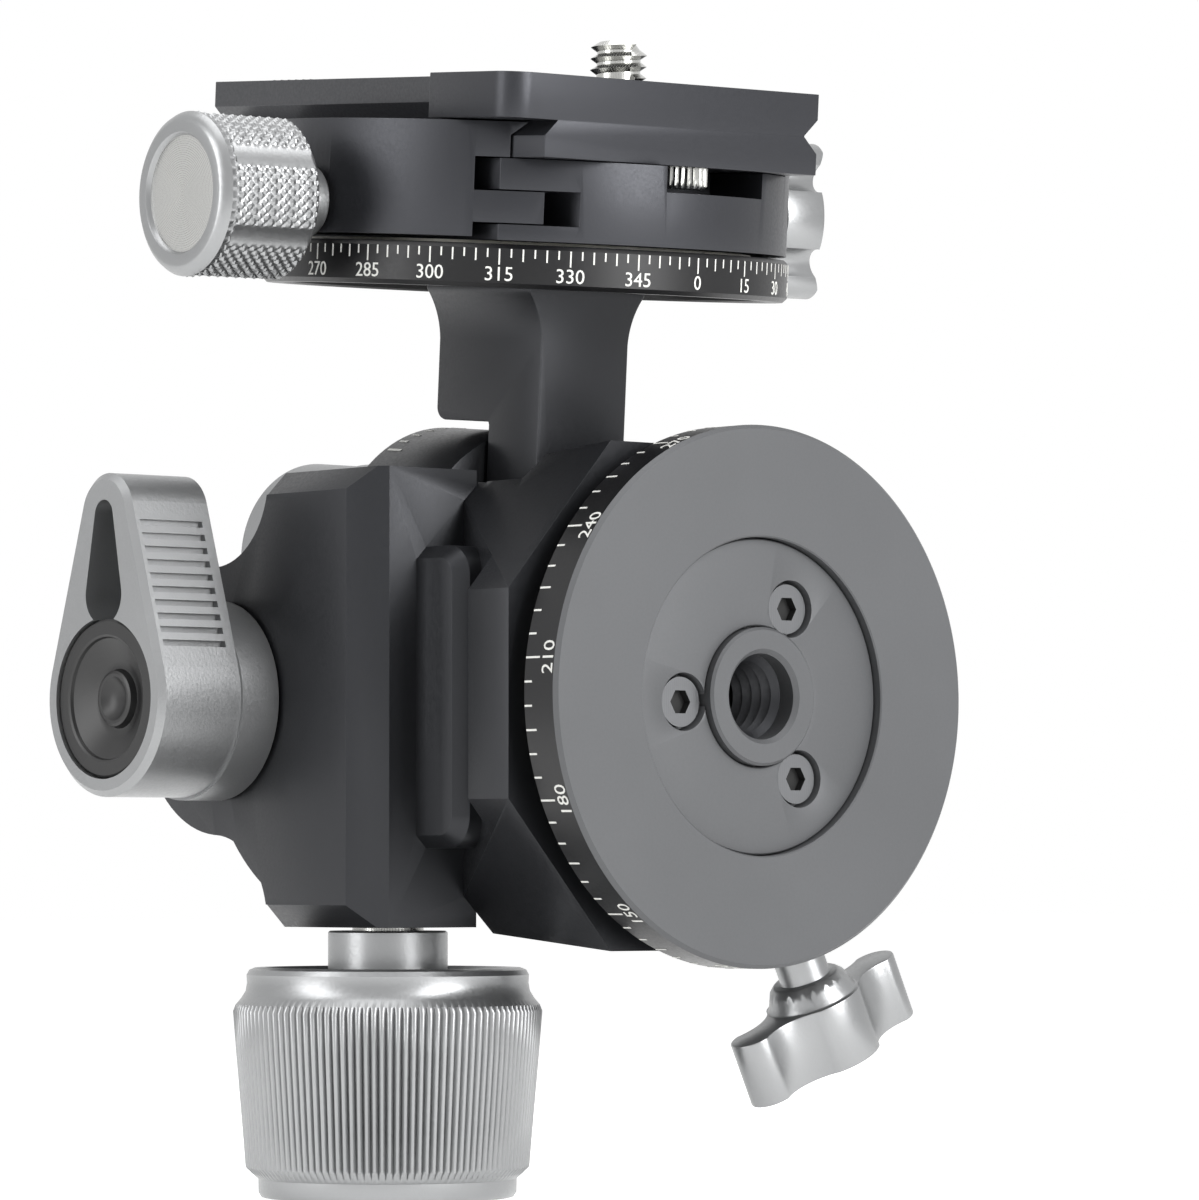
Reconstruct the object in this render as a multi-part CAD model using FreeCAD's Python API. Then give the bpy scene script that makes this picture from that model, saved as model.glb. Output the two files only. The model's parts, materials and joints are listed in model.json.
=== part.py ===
import FreeCAD, Part
import math
import os

# Geared tripod head, drawn in the pose of the photograph: the base disc faces +X, the camera
# plate is up (+Z) and the tilt lever is on the -Y side. Millimetres and degrees throughout.
# The origin is the centre of the base disc's outer face, at the mouth of the tripod thread.

os.makedirs("parts", exist_ok=True)
V = FreeCAD.Vector
AX = V(1, 0, 0)
AY = V(0, 1, 0)
AZ = V(0, 0, 1)

# Clearances
RUN = 0.06               # radial gap of a shaft in its bore
FACE = 0.3               # gap between faces that slide or stand off
SKIN = 0.15              # gap between a seated insert and its pocket
FAR = 90.0               # longer than any body that is cut

# Base disc and pan spindle
BASE_R = 30.0
BASE_T = 5.4
BASE_EDGE = 0.4
RECESS_R = 17.6
RECESS_D = 1.0
RETAINER_T = 2.4
BOSS_R = 7.65
STUD_R = 4.7625          # 3/8 inch tripod stud
THREAD_LENGTH = 11.0
BASE_SCREW_CIRCLE = 10.9
BASE_SCREW_TURN = 64.0
BASE_SCREW_COUNT = 3
M3_HEAD_R = 2.75
M3_HEAD_T = 1.7
M3_SHANK_R = 1.5
M3_HEX_R = 1.45
M3_LENGTH = 8.0
SCREW_SINK = 0.6
SPINDLE_R = 12.8
SPINDLE_LENGTH = 12.5
SPINDLE_FLANGE_R = 15.0
SPINDLE_FLANGE_T = 3.0
SPINDLE_CAP_T = 1.4
SLIP_T = 0.5
SLIP_IN_R = 15.0
SLIP_OUT_R = 25.0

# Main body
BODY_TOP_X = 27.0
FLANGE_T = 8.9
FLANGE_HALF_Y = 30.0
FLANGE_CORNER_Z = 11.4
FLANGE_SHOULDER_Y = 15.5
FLANGE_SHOULDER_Z = 28.0
FLANGE_FLAT_Y = 5.7
FLANGE_FLAT_Z = 29.7
BODY_HALF_Y = 20.7
BODY_EDGE_Z = 22.1
BODY_SHOULDER_Y = 16.5
BODY_HALF_Z = 26.2
BUMP_Y = 27.5
BUMP_DROP = 7.7
BUMP_HALF_Z = 16.7
BUMP_CORNER_R = 3.6
BUMP_CHAMFER = 1.4
BLOCK_Y = 34.7
BLOCK_INNER_Y = 18.9
DRUM_ROOM_Z = 6.9
DRUM_PATH_END = 60.0
BLOCK_BACK_X = 44.7
BLOCK_HALF_Z = 25.5
BLOCK_CORNER = 3.4
BLOCK_EDGE = 2.5
BOSS_WEB_R = 10.0
TILT_BOSS_R = 15.2
SCOOP_R = 9.0
SCOOP_LIFT = 3.0
SCOOP_LOW_Y = -18.5
SCOOP_HIGH_Y = 9.5
RELIEF_R = 24.0
RELIEF_D = 1.4

# Tilt axis, worm and wheel
TILT_X = -53.5
WHEEL_TEETH = 44
GEAR_MODULE = 0.6
WORM_PITCH_R = 4.4
WHEEL_WIDTH = 5.0
WORM_Y = -24.4
WORM_HALF = 7.5
TOOTH_HALF = 0.36
PRESSURE_ANGLE = 20.0
ADDENDUM = 0.6
DEDENDUM = 0.75
WORM_BORE_GAP = 0.2
WORM_NECK_R = 2.2
WORM_BUSH_R = 3.2
WORM_BUSH_T = 5.5
WORM_SHAFT_R = 4.0
LOWER_BEARING_R = 5.2
LOWER_BEARING_T = 9.0
LOWER_BEARING_SINK = 0.4
WORM_SHAFT_END_Z = -42.0
WORM_END_ROOM = 0.9
WHEEL_BORE_GAP = 0.2
TILT_SHAFT_R = 5.0
SPACER_WALL = 3.0
ROTOR_R = 24.7
ROTOR_T = 2.4
TILT_REST = 5.0          # lean of the arm past square in the photograph
ROLL_REST = 1.15

# Ribbed knob on the worm
RIB_KNOB_TOP_Z = -30.0
RIB_COLLAR_R = 6.7
RIB_RIM_R = 15.8
RIB_WIDE_R = 17.3
RIB_LOW_R = 15.8
RIB_LIP_R = 14.4
RIB_START_Z = -34.6
RIB_END_Z = -52.5
RIB_BOTTOM_Z = -55.6
RIB_COUNT = 60
RIB_DEPTH = 0.45
RIB_DISH_R = 12.6
RIB_DISH_D = 2.2
RIB_CAP_R = 11.5
RIB_CAP_T = 1.6
RIB_CAP_SINK = 0.3
SCREW_HEAD_ROOM = 3.0
SCREW_HEAD_T = 1.0
KNOB_SCREW_R = 2.0

# Teardrop levers
LEVER_FACE_Y = 51.0
LEVER_T = 11.0
LEVER_BIG_R = 11.0
LEVER_TIP_R = 4.7
LEVER_REACH = 20.5
LEVER_COLLAR_R = 11.3
LEVER_CAP_R = 8.85
LEVER_CAP_T = 3.0
LEVER_CAP_CONE_R = 6.6
LEVER_CAP_CONE_D = 1.9
LEVER_CAP_DIMPLE_R = 2.6
LEVER_POCKET_LOW = 11.6
LEVER_POCKET_LOW_R = 3.4
LEVER_POCKET_TIP_R = 1.7
LEVER_POCKET_D = 6.5
LEVER_RIBS = 10
LEVER_RIB_PITCH = 1.5
LEVER_RIB_D = 0.45
LEVER_EDGE = 0.7
LEVER_CAP_ROOM = 0.5
LEVER_CAP_SINK = 0.4
LEVER_NUT_R = 6.2
LEVER_NUT_T = 4.5

# Roll drum, axis along X before the rest lean
ROLL_Y = -4.5
ROLL_Z = 16.3
DRUM_R = 16.1
DRUM_BACK_X = -52.7
DRUM_FRONT_X = -37.6
ROLL_SHAFT_R = 4.5
ROLL_HUB_R = 12.0
ROLL_HUB_BACK_X = -61.1
ROLL_WASHER_R = 11.3
ROLL_WASHER_T = 0.4
ROLL_STUB_T = 3.0

# Arm
ARM_FRONT_X = -28.2
ARM_BACK_X = -46.7
ARM_HALF_Y = 6.4
ARM_STEP_Z = 33.4
ARM_STEP_R = 1.5
ARM_FLARE = 2.2
ARM_FLARE_R = 5.6
ARM_BOSS_R = 7.0

# Panning clamp, axis along Z before the rest lean
PAN_X = -39.4
PAN_Y = -4.5
PAN_REST = -3.0
RING_R = 30.0
RING_LOW_Z = 48.3
RING_T = 4.8
RING_HOLLOW_R = 27.4
RING_HOLLOW_D = 2.0
RING_CHAMFER = 0.6
CLAMP_R = 29.7
CLAMP_T = 9.0
CLAMP_SLIP_T = 0.4
HUB_R = 12.0
HUB_FLANGE_R = 15.0
HUB_FLANGE_T = 2.2
HUB_LIFT = 4.2
JAW_RISE = 4.0
JAW_SPLIT_Y = -22.1
JAW_GAP = 2.0
COMB_REACH = 5.9
COMB_SLACK = 3.5
COMB_LOW_T = 1.9
COMB_FINGER_T = 3.5
COMB_GAP = 0.15
PLATE_BACK = -36.8       # from the pan axis to the plate's rear end
PLATE_FRONT = 28.4
PLATE_HALF_W = 19.05     # half of the 38 mm dovetail
PLATE_T = 9.1
PLATE_NOTCH_Z = 4.3
PLATE_NOTCH_D = 1.9
PLATE_CORNER_R = 3.0
PLATE_LIFT = 0.1
WING_PLATE_W = 5.0
WING_PLATE_LENGTH = 15.0
WING_PLATE_T = 5.0
SLOT_BACK = -20.0
SLOT_FRONT = 24.5
SLOT_END = 5.0           # the shank's slot runs this much further than the head's room
SLOT_SIDE_GAP = 0.4
SLOT_ROOM_HALF = 8.2
SLOT_ROOM_T = 4.2
PAD_LENGTH = 9.0
PAD_HALF_W = 14.0
PAD_T = 1.2
PAD_SHOW = 0.5
PAD_RIB_PITCH = 1.5
PAD_BACK = -33.0
STOP_R = 2.6
STOP_T = 2.3
STOP_X = 24.3
STOP_Y = 3.5
STOP_TRAVEL = 4.0
STOP_ROOM_T = 2.9
STOP_ROOM_LOW_Y = -2.9
STOP_ROOM_HIGH_Y = 12.6
CAMERA_R = 3.175         # 1/4 inch camera screw
CAMERA_TIP = 4.7
CAMERA_SHANK_R = 2.4     # plain part of the screw, inside the plate's slot
CAMERA_THREAD_LIFT = 0.4
CAMERA_HEAD_R = 6.0
CAMERA_HEAD_T = 2.4
CAMERA_REST = 16.0
CAMERA_CHAMFER = 0.6

# Clamp knob and its screw
KNOB_NECK_R = 4.0
KNOB_NECK_LENGTH = 4.5
KNOB_R = 9.2
KNOB_LENGTH = 13.0
KNOB_FACE_R = 8.0
KNOB_EDGE = 0.5
KNOB_WEB = 4.0           # metal left beyond the end of the screw
KNOB_FLUTE_END = 2.0
KNOB_DISH_R = 6.55
KNOB_DISH_D = 0.5
KNOB_FLUTES = 6
KNOB_FLUTE_R = 5.0
KNOB_FLUTE_D = 0.5
CLAMP_SCREW_R = 2.5
CLAMP_SCREW_END = 17.0   # from the pan axis to the screw's inner end
KNOB_Z = 57.2
KNOB_NECK_GAP = 0.4

# Wing knobs
WING_STUD_R = 2.0
SHOE_R = 2.4
STUD_SINK = 3.0
WING_SHAFT_R = 2.9
WING_COLLAR_R = 4.4
WING_COLLAR_T = 2.6
WING_HUB_R = 5.6
WING_TIP_R = 2.6
WING_T = 7.6
WING_WAIST = 2.2
PAN_LOCK_X = -9.4
PAN_LOCK_LEAN = 25.0
PAN_LOCK_HALF = 12.6
PAN_LOCK_NECK = 4.2
PAN_LOCK_REACH = 30.2
PAN_LOCK_SCREW_END = 17.0
PAN_LOCK_SINK = 0.3
CLAMP_LOCK_HALF = 9.2
CLAMP_LOCK_STUD_Z = 58.4
CLAMP_LOCK_STUD = 8.0
CLAMP_LOCK_NECK = 1.2
CLAMP_LOCK_GAP = 0.6
CLAMP_LOCK_SCOOP_R = 16.0
CLAMP_LOCK_SCOOP_D = 2.2


def turned(shape, axis, base, angle):
    copy = shape.copy()
    copy.rotate(base, axis, angle)
    return copy


def moved(shape, offset):
    copy = shape.copy()
    copy.translate(offset)
    return copy


def rod(radius, start, direction, length):
    return Part.makeCylinder(radius, length, start, direction)


def rod_x(radius, x_low, x_high, y=0.0, z=0.0):
    return rod(radius, V(x_low, y, z), AX, x_high - x_low)


def rod_y(radius, y_low, y_high, x=0.0, z=0.0):
    return rod(radius, V(x, y_low, z), AY, y_high - y_low)


def rod_z(radius, z_low, z_high, x=0.0, y=0.0):
    return rod(radius, V(x, y, z_low), AZ, z_high - z_low)


def block(x_low, x_high, y_low, y_high, z_low, z_high):
    return Part.makeBox(x_high - x_low, y_high - y_low, z_high - z_low, V(x_low, y_low, z_low))


def polygon(points):
    return Part.Face(Part.makePolygon(list(points) + [points[0]]))


def ring_of(count, start=0.0):
    return [start + 360.0 * i / count for i in range(count)]


def revolved(profile, base, axis):
    """Solid of revolution of a closed list of points about an axis."""
    return polygon(profile).revolve(base, axis, 360)


def turned_profile(pairs, base, axis, side):
    """Solid turned from (distance along the axis, radius) pairs that start and end on the axis."""
    return revolved([base + axis * along + side * out for along, out in pairs], base, axis)


def hexagon_socket(start, direction, side, radius, depth):
    points = []
    for angle in ring_of(6):
        arm = FreeCAD.Rotation(direction, angle).multVec(side)
        points.append(start + arm * radius)
    return polygon(points).extrude(direction * depth)


def cap_screw(head_face, direction, side, head_r, head_t, shank_r, length, hex_r):
    """Socket head screw whose head face is at head_face and whose shank runs along direction."""
    head = rod(head_r, head_face, direction, head_t)
    shank = rod(shank_r, head_face, direction, length)
    return head.fuse(shank).cut(hexagon_socket(head_face, direction, side, hex_r, head_t * 0.6))


# The tilting group is drawn square and then turned to its rest pose: the clamp about the pan axis,
# the arm about the roll axis and the whole group about the tilt axis.
TILT_BASE = V(TILT_X, 0, 0)
ROLL_BASE = V(0, ROLL_Y, ROLL_Z)
PAN_BASE = V(PAN_X, PAN_Y, 0)


def lean(shape):
    return turned(shape, AY, TILT_BASE, TILT_REST)


def roll_and_lean(shape):
    return lean(turned(shape, AX, ROLL_BASE, ROLL_REST))


def pan_and_lean(shape):
    return roll_and_lean(turned(shape, AZ, PAN_BASE, PAN_REST))


# Base

RETAINER_BACK = RECESS_D + RETAINER_T
BODY_FACE_X = -(BASE_T + SLIP_T)
SPINDLE_BACK = RETAINER_BACK + SPINDLE_LENGTH


def base_screw_places():
    places = []
    for angle in ring_of(BASE_SCREW_COUNT, BASE_SCREW_TURN):
        turn = math.radians(angle)
        places.append((BASE_SCREW_CIRCLE * math.cos(turn), BASE_SCREW_CIRCLE * math.sin(turn)))
    return places


def base_plate():
    disc = rod_x(BASE_R, -BASE_T, 0)
    disc = disc.makeChamfer(BASE_EDGE, round_edges(disc, BASE_R))
    disc = disc.cut(rod_x(RECESS_R, -RETAINER_BACK, 1))
    return disc.cut(rod_x(SPINDLE_R + SKIN, -BASE_T - 1, 1))


def round_edges(shape, radius):
    found = []
    for edge in shape.Edges:
        if isinstance(edge.Curve, Part.Circle) and abs(edge.Curve.Radius - radius) < 0.01:
            found.append(edge)
    return found


def base_retainer():
    plate = rod_x(RECESS_R - SKIN, -RETAINER_BACK, -RECESS_D)
    plate = plate.cut(rod_x(BOSS_R + SKIN, -RETAINER_BACK - 1, 0))
    for y, z in base_screw_places():
        plate = plate.cut(rod_x(M3_SHANK_R + SKIN, -RETAINER_BACK - 1, 0, y, z))
        seat_x = -(RECESS_D + SCREW_SINK + M3_HEAD_T)
        plate = plate.cut(rod_x(M3_HEAD_R + 3 * SKIN, seat_x, 0, y, z))
    return plate


def base_screws():
    screws = []
    for y, z in base_screw_places():
        face = V(-(RECESS_D + SCREW_SINK), y, z)
        screws.append(cap_screw(face, -AX, AY, M3_HEAD_R, M3_HEAD_T, M3_SHANK_R, M3_LENGTH, M3_HEX_R))
    return Part.makeCompound(screws)


def thread_bush():
    bush = rod_x(BOSS_R, -THREAD_LENGTH, 0)
    return bush.cut(rod_x(STUD_R, -THREAD_LENGTH - 1, 1))


def pan_spindle():
    spindle = rod_x(SPINDLE_R, -SPINDLE_BACK, -RETAINER_BACK)
    spindle = spindle.fuse(rod_x(SPINDLE_FLANGE_R, -SPINDLE_BACK, -SPINDLE_BACK + SPINDLE_FLANGE_T))
    spindle = spindle.cut(rod_x(BOSS_R, -SPINDLE_BACK - 1, 0))
    for y, z in base_screw_places():
        spindle = spindle.cut(rod_x(M3_SHANK_R, -(RECESS_D + SCREW_SINK + M3_LENGTH), 0, y, z))
    return spindle


def pan_slip_ring():
    ring = rod_x(SLIP_OUT_R, -(BASE_T + SLIP_T), -BASE_T)
    return ring.cut(rod_x(SLIP_IN_R, -BASE_T - 1, 0))


# Main body

def ruled_body():
    """Faceted neck between the wide flange behind the disc and the narrow rear face."""
    front_x = BODY_FACE_X - 2.0
    wide = [(FLANGE_HALF_Y, FLANGE_CORNER_Z), (FLANGE_SHOULDER_Y, FLANGE_SHOULDER_Z)]
    narrow = [(BODY_HALF_Y, BODY_EDGE_Z), (BODY_SHOULDER_Y, BODY_HALF_Z)]
    loops = []
    for x, quarter in ((front_x, wide), (-BODY_TOP_X, narrow)):
        (y0, z0), (y1, z1) = quarter
        around = [(y0, z0), (y1, z1), (-y1, z1), (-y0, z0), (-y0, -z0), (-y1, -z1), (y1, -z1), (y0, -z0)]
        points = [V(x, y, z) for y, z in around]
        loops.append(Part.makePolygon(points + [points[0]]))
    return Part.makeLoft(loops, True, True)


def flange():
    around = []
    for sy, sz, order in ((1, 1, 1), (-1, 1, -1), (-1, -1, 1), (1, -1, -1)):
        corner = [(FLANGE_HALF_Y, FLANGE_CORNER_Z), (FLANGE_SHOULDER_Y, FLANGE_SHOULDER_Z),
                  (FLANGE_FLAT_Y, FLANGE_FLAT_Z)][::order]
        around += [(sy * y, sz * z) for y, z in corner]
    return polygon([V(BODY_FACE_X, y, z) for y, z in around]).extrude(-AX * FLANGE_T)


def worm_block():
    """Housing of the worm: a tall block with bevelled edges on its -Y face and outer corner."""
    shape = block(-BLOCK_BACK_X, -BODY_TOP_X, -BLOCK_Y, -BLOCK_INNER_Y, -BLOCK_HALF_Z, BLOCK_HALF_Z)
    low = -FAR / 2
    corner = polygon([V(-BODY_TOP_X, -BLOCK_Y - 1, low), V(-BODY_TOP_X + 1, -BLOCK_Y - 1, low),
                      V(-BODY_TOP_X + 1, -BLOCK_Y + BLOCK_CORNER + 1, low),
                      V(-BODY_TOP_X - BLOCK_CORNER - 1, -BLOCK_Y - 1, low)]).extrude(AZ * FAR)
    shape = shape.cut(corner)
    for side in (1, -1):
        edge = side * BLOCK_HALF_Z
        bevel = polygon([V(-FAR, -BLOCK_Y - 1, edge + side),
                         V(-FAR, -BLOCK_Y - 1, edge - side * (BLOCK_EDGE + 1)),
                         V(-FAR, -BLOCK_Y + BLOCK_EDGE + 1, edge + side)]).extrude(AX * FAR)
        shape = shape.cut(bevel)
    return shape


def boss_web():
    """Tilt bearing boss, joined to the block by a hollow curve above and below."""
    centre_x = -(BLOCK_BACK_X + BOSS_WEB_R)
    reach = TILT_BOSS_R + BOSS_WEB_R
    centre_z = math.sqrt(reach ** 2 - (centre_x - TILT_X) ** 2)
    web = block(centre_x, -BLOCK_BACK_X, -BLOCK_Y, -BLOCK_INNER_Y, -centre_z, centre_z)
    for side in (1, -1):
        web = web.cut(rod_y(BOSS_WEB_R, -BLOCK_Y - 1, 0, centre_x, side * centre_z))
    half = BLOCK_HALF_Z - BLOCK_EDGE
    web = web.common(block(-FAR, 0, -BLOCK_Y, -BLOCK_INNER_Y, -half, half))
    return web.fuse(rod_y(TILT_BOSS_R, -BLOCK_Y, -BLOCK_INNER_Y, TILT_X, 0))


def bump():
    """Raised pad that carries the block on the side of the neck."""
    x_face = -BODY_TOP_X + BUMP_DROP
    pad = block(-BODY_TOP_X - 1, x_face, -BUMP_Y, -BLOCK_INNER_Y, -BUMP_HALF_Z, BUMP_HALF_Z)
    corners = []
    for edge in pad.Edges:
        box = edge.BoundBox
        if box.YLength > 1 and abs(box.XMax - x_face) < 0.01:
            corners.append(edge)
    pad = pad.makeFillet(BUMP_CORNER_R, corners)
    rim = []
    for edge in pad.Edges:
        box = edge.BoundBox
        if box.YLength < 0.01 and abs(box.YMin + BUMP_Y) < 0.01 and box.XMax > -BODY_TOP_X:
            if box.XMin > -BODY_TOP_X - 0.9:
                rim.append(edge)
    return pad.makeChamfer(BUMP_CHAMFER, rim)


def pan_lock_axis():
    lean_angle = math.radians(PAN_LOCK_LEAN)
    return V(0, math.sin(lean_angle), -math.cos(lean_angle))


WHEEL_PITCH_R = GEAR_MODULE * WHEEL_TEETH / 2
WORM_X = TILT_X + WHEEL_PITCH_R + WORM_PITCH_R
WHEEL_OUT_R = WHEEL_PITCH_R + ADDENDUM
WHEEL_LOW_Y = WORM_Y - WHEEL_WIDTH / 2
WORM_OUT_R = WORM_PITCH_R + ADDENDUM
ROTOR_FACE_Y = -(BLOCK_INNER_Y - FACE)
WORM_BORE_TOP = WORM_HALF + WORM_END_ROOM
WORM_BORE_LOW = -(WORM_HALF + WORM_END_ROOM)


def body_bores(body):
    body = body.cut(rod_x(SPINDLE_R + RUN, -SPINDLE_BACK, 0))
    flange_front = -SPINDLE_BACK + SPINDLE_FLANGE_T + FACE
    body = body.cut(rod_x(SPINDLE_FLANGE_R + FACE, -BODY_TOP_X - 1, flange_front))
    room_r = WHEEL_OUT_R + WHEEL_BORE_GAP
    body = body.cut(rod_y(room_r, WHEEL_LOW_Y - FACE, -BLOCK_INNER_Y + 1, TILT_X, 0))
    body = body.cut(rod_y(TILT_SHAFT_R + RUN, -BLOCK_Y - 1, -BLOCK_INNER_Y, TILT_X, 0))
    body = body.cut(rod_z(WORM_OUT_R + WORM_BORE_GAP, WORM_BORE_LOW - 1, WORM_BORE_TOP, WORM_X, WORM_Y))
    body = body.cut(rod_z(LOWER_BEARING_R, -BLOCK_HALF_Z - 1, WORM_BORE_LOW, WORM_X, WORM_Y))
    top = WORM_BORE_TOP + WORM_BUSH_T
    return body.cut(rod_z(WORM_BUSH_R, WORM_BORE_TOP - 1, top, WORM_X, WORM_Y))


def body_reliefs(body):
    """Hollows that let the arm, the drum and the pan lock screw in."""
    body = body.cut(rod_y(SCOOP_R, SCOOP_LOW_Y, SCOOP_HIGH_Y, -BODY_TOP_X, BODY_HALF_Z + SCOOP_LIFT))
    relief = rod_x(RELIEF_R, -BODY_TOP_X - 1, -BODY_TOP_X + RELIEF_D, ROLL_Y, ROLL_Z)
    body = body.cut(relief.cut(block(-FAR, 0, -FAR, -BLOCK_INNER_Y + FACE, -FAR, FAR)))
    reach = math.hypot(DRUM_FRONT_X - TILT_X, ROLL_Z + DRUM_R)
    drum_y = ROLL_Y - DRUM_R - FACE
    drum_path = rod_y(reach, drum_y, 0, TILT_X, 0)
    kept = block(-BLOCK_BACK_X, 0, drum_y - 1, 1, -FAR, DRUM_ROOM_Z)
    neck_x = TILT_X + reach * math.cos(math.radians(DRUM_PATH_END))
    kept = kept.fuse(block(neck_x, 0, drum_y - 1, 1, -FAR, FAR))
    body = body.cut(drum_path.cut(kept))
    inside = V(PAN_LOCK_X, 0, 0) + pan_lock_axis() * (SPINDLE_R - 1)
    shoe_room = PAN_LOCK_SCREW_END - SPINDLE_R + 1
    body = body.cut(rod(SHOE_R + RUN, inside, pan_lock_axis(), shoe_room))
    body = body.cut(rod(WING_STUD_R + RUN, inside, pan_lock_axis(), BASE_R))
    mouth = pan_lock_start() - pan_lock_axis() * PAN_LOCK_SINK
    return body.cut(rod(WING_SHAFT_R + RUN, mouth, pan_lock_axis(), WING_COLLAR_R * 2))


def main_body():
    body = ruled_body().fuse(flange()).fuse(worm_block()).fuse(boss_web()).fuse(bump())
    body = body_reliefs(body_bores(body))
    return body.removeSplitter()


def spindle_cap():
    back = -BODY_TOP_X + RELIEF_D + FACE
    return rod_x(SPINDLE_FLANGE_R + FACE, back, back + SPINDLE_CAP_T)


# Worm drive

def worm():
    """Single start worm with journals, its thread wound as a trapezoid ridge."""
    root_r = WORM_PITCH_R - DEDENDUM
    lead = math.pi * GEAR_MODULE
    slope = math.tan(math.radians(PRESSURE_ANGLE))
    low = -WORM_HALF + lead / 2
    height = 2 * (WORM_HALF - lead / 2)
    turns = height / lead
    helix = Part.makeHelix(lead, height, root_r)
    half_root = TOOTH_HALF + DEDENDUM * slope
    half_tip = TOOTH_HALF - ADDENDUM * slope
    inner = root_r - 0.2
    profile = Part.makePolygon([V(inner, 0, -half_root), V(WORM_OUT_R, 0, -half_tip),
                                V(WORM_OUT_R, 0, half_tip), V(inner, 0, half_root), V(inner, 0, -half_root)])
    ridge = Part.Wire(helix).makePipeShell([profile], True, True)
    phase = 180.0 - 360.0 * (turns / 2)
    ridge.rotate(V(0, 0, 0), AZ, phase)
    ridge.translate(V(WORM_X, WORM_Y, low))
    core = rod_z(root_r, -WORM_HALF, WORM_HALF, WORM_X, WORM_Y)
    neck = rod_z(WORM_NECK_R, WORM_HALF, WORM_BORE_TOP + WORM_BUSH_T - FACE, WORM_X, WORM_Y)
    shaft = rod_z(WORM_SHAFT_R, WORM_SHAFT_END_Z, -WORM_HALF, WORM_X, WORM_Y)
    return core.fuse(neck).fuse(shaft).fuse(ridge)


def worm_bush_upper():
    low = WORM_BORE_TOP
    bush = rod_z(WORM_BUSH_R, low, low + WORM_BUSH_T, WORM_X, WORM_Y)
    return bush.cut(rod_z(WORM_NECK_R + RUN, low - 1, low + WORM_BUSH_T + 1, WORM_X, WORM_Y))


def worm_bearing_lower():
    low = -BLOCK_HALF_Z + LOWER_BEARING_SINK
    bearing = rod_z(LOWER_BEARING_R, low, low + LOWER_BEARING_T, WORM_X, WORM_Y)
    return bearing.cut(rod_z(WORM_SHAFT_R + RUN, low - 1, low + LOWER_BEARING_T + 1, WORM_X, WORM_Y))


def worm_wheel():
    """Spur toothed wheel whose gap faces the worm at rest."""
    root_r = WHEEL_PITCH_R - DEDENDUM
    slope = math.tan(math.radians(PRESSURE_ANGLE))
    half_root = (TOOTH_HALF + DEDENDUM * slope) / root_r
    half_tip = (TOOTH_HALF - ADDENDUM * slope) / WHEEL_OUT_R
    points = []
    for i in range(WHEEL_TEETH):
        middle = 2 * math.pi * (i + 0.5) / WHEEL_TEETH
        for radius, offset in ((root_r, -half_root), (WHEEL_OUT_R, -half_tip),
                               (WHEEL_OUT_R, half_tip), (root_r, half_root)):
            angle = middle + offset
            points.append(V(TILT_X + radius * math.cos(angle), WHEEL_LOW_Y, radius * math.sin(angle)))
    wheel = polygon(points).extrude(AY * WHEEL_WIDTH)
    return wheel.cut(rod_y(TILT_SHAFT_R, WHEEL_LOW_Y - 1, 0, TILT_X, 0))


def ribbed_cone():
    loops = []
    for z, radius in ((RIB_START_Z, RIB_WIDE_R), (RIB_END_Z, RIB_LOW_R)):
        points = []
        for i in range(2 * RIB_COUNT):
            angle = math.pi * i / RIB_COUNT
            out = radius - RIB_DEPTH * (i % 2)
            points.append(V(WORM_X + out * math.cos(angle), WORM_Y + out * math.sin(angle), z))
        loops.append(Part.makePolygon(points + [points[0]]))
    return Part.makeLoft(loops, True, True)


def ribbed_knob():
    base = V(WORM_X, WORM_Y, 0)
    top = RIB_KNOB_TOP_Z
    inner = RIB_LOW_R - RIB_DEPTH - 0.6
    core = turned_profile([(-BLOCK_HALF_Z - FACE, 0), (-BLOCK_HALF_Z - FACE, RIB_COLLAR_R),
                           (top - RIB_DISH_D, RIB_COLLAR_R), (top - RIB_DISH_D, RIB_DISH_R),
                           (top - 0.3, RIB_DISH_R + 0.8), (top, RIB_RIM_R - 0.9), (top - 0.5, RIB_RIM_R),
                           (top - 1.7, RIB_RIM_R - 0.1), (top - 3.2, RIB_RIM_R + 0.4),
                           (RIB_START_Z, RIB_WIDE_R - RIB_DEPTH), (RIB_START_Z - 0.5, inner),
                           (RIB_END_Z + 0.5, inner), (RIB_END_Z, RIB_LIP_R), (RIB_BOTTOM_Z + 0.6, RIB_LIP_R),
                           (RIB_BOTTOM_Z, RIB_LIP_R - 0.6), (RIB_BOTTOM_Z, 0)], base, AZ, AX)
    knob = core.fuse(ribbed_cone())
    knob = knob.cut(rod_z(WORM_SHAFT_R, WORM_SHAFT_END_Z, 0, WORM_X, WORM_Y))
    seat = RIB_BOTTOM_Z + RIB_CAP_T + SCREW_HEAD_ROOM
    knob = knob.cut(rod_z(RIB_CAP_R + SKIN, RIB_BOTTOM_Z - 1, seat, WORM_X, WORM_Y))
    return knob.cut(rod_z(KNOB_SCREW_R + SKIN, RIB_BOTTOM_Z, WORM_SHAFT_END_Z, WORM_X, WORM_Y))


def ribbed_knob_cap():
    low = RIB_BOTTOM_Z + RIB_CAP_SINK
    return rod_z(RIB_CAP_R, low, low + RIB_CAP_T, WORM_X, WORM_Y)


def ribbed_knob_screw():
    seat = RIB_BOTTOM_Z + RIB_CAP_T + SCREW_HEAD_ROOM
    head = rod_z(2 * KNOB_SCREW_R, seat - SCREW_HEAD_T, seat, WORM_X, WORM_Y)
    return head.fuse(rod_z(KNOB_SCREW_R, seat, WORM_SHAFT_END_Z, WORM_X, WORM_Y))


# Levers: drawn on the tilt axis, and again on the roll axis

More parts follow.
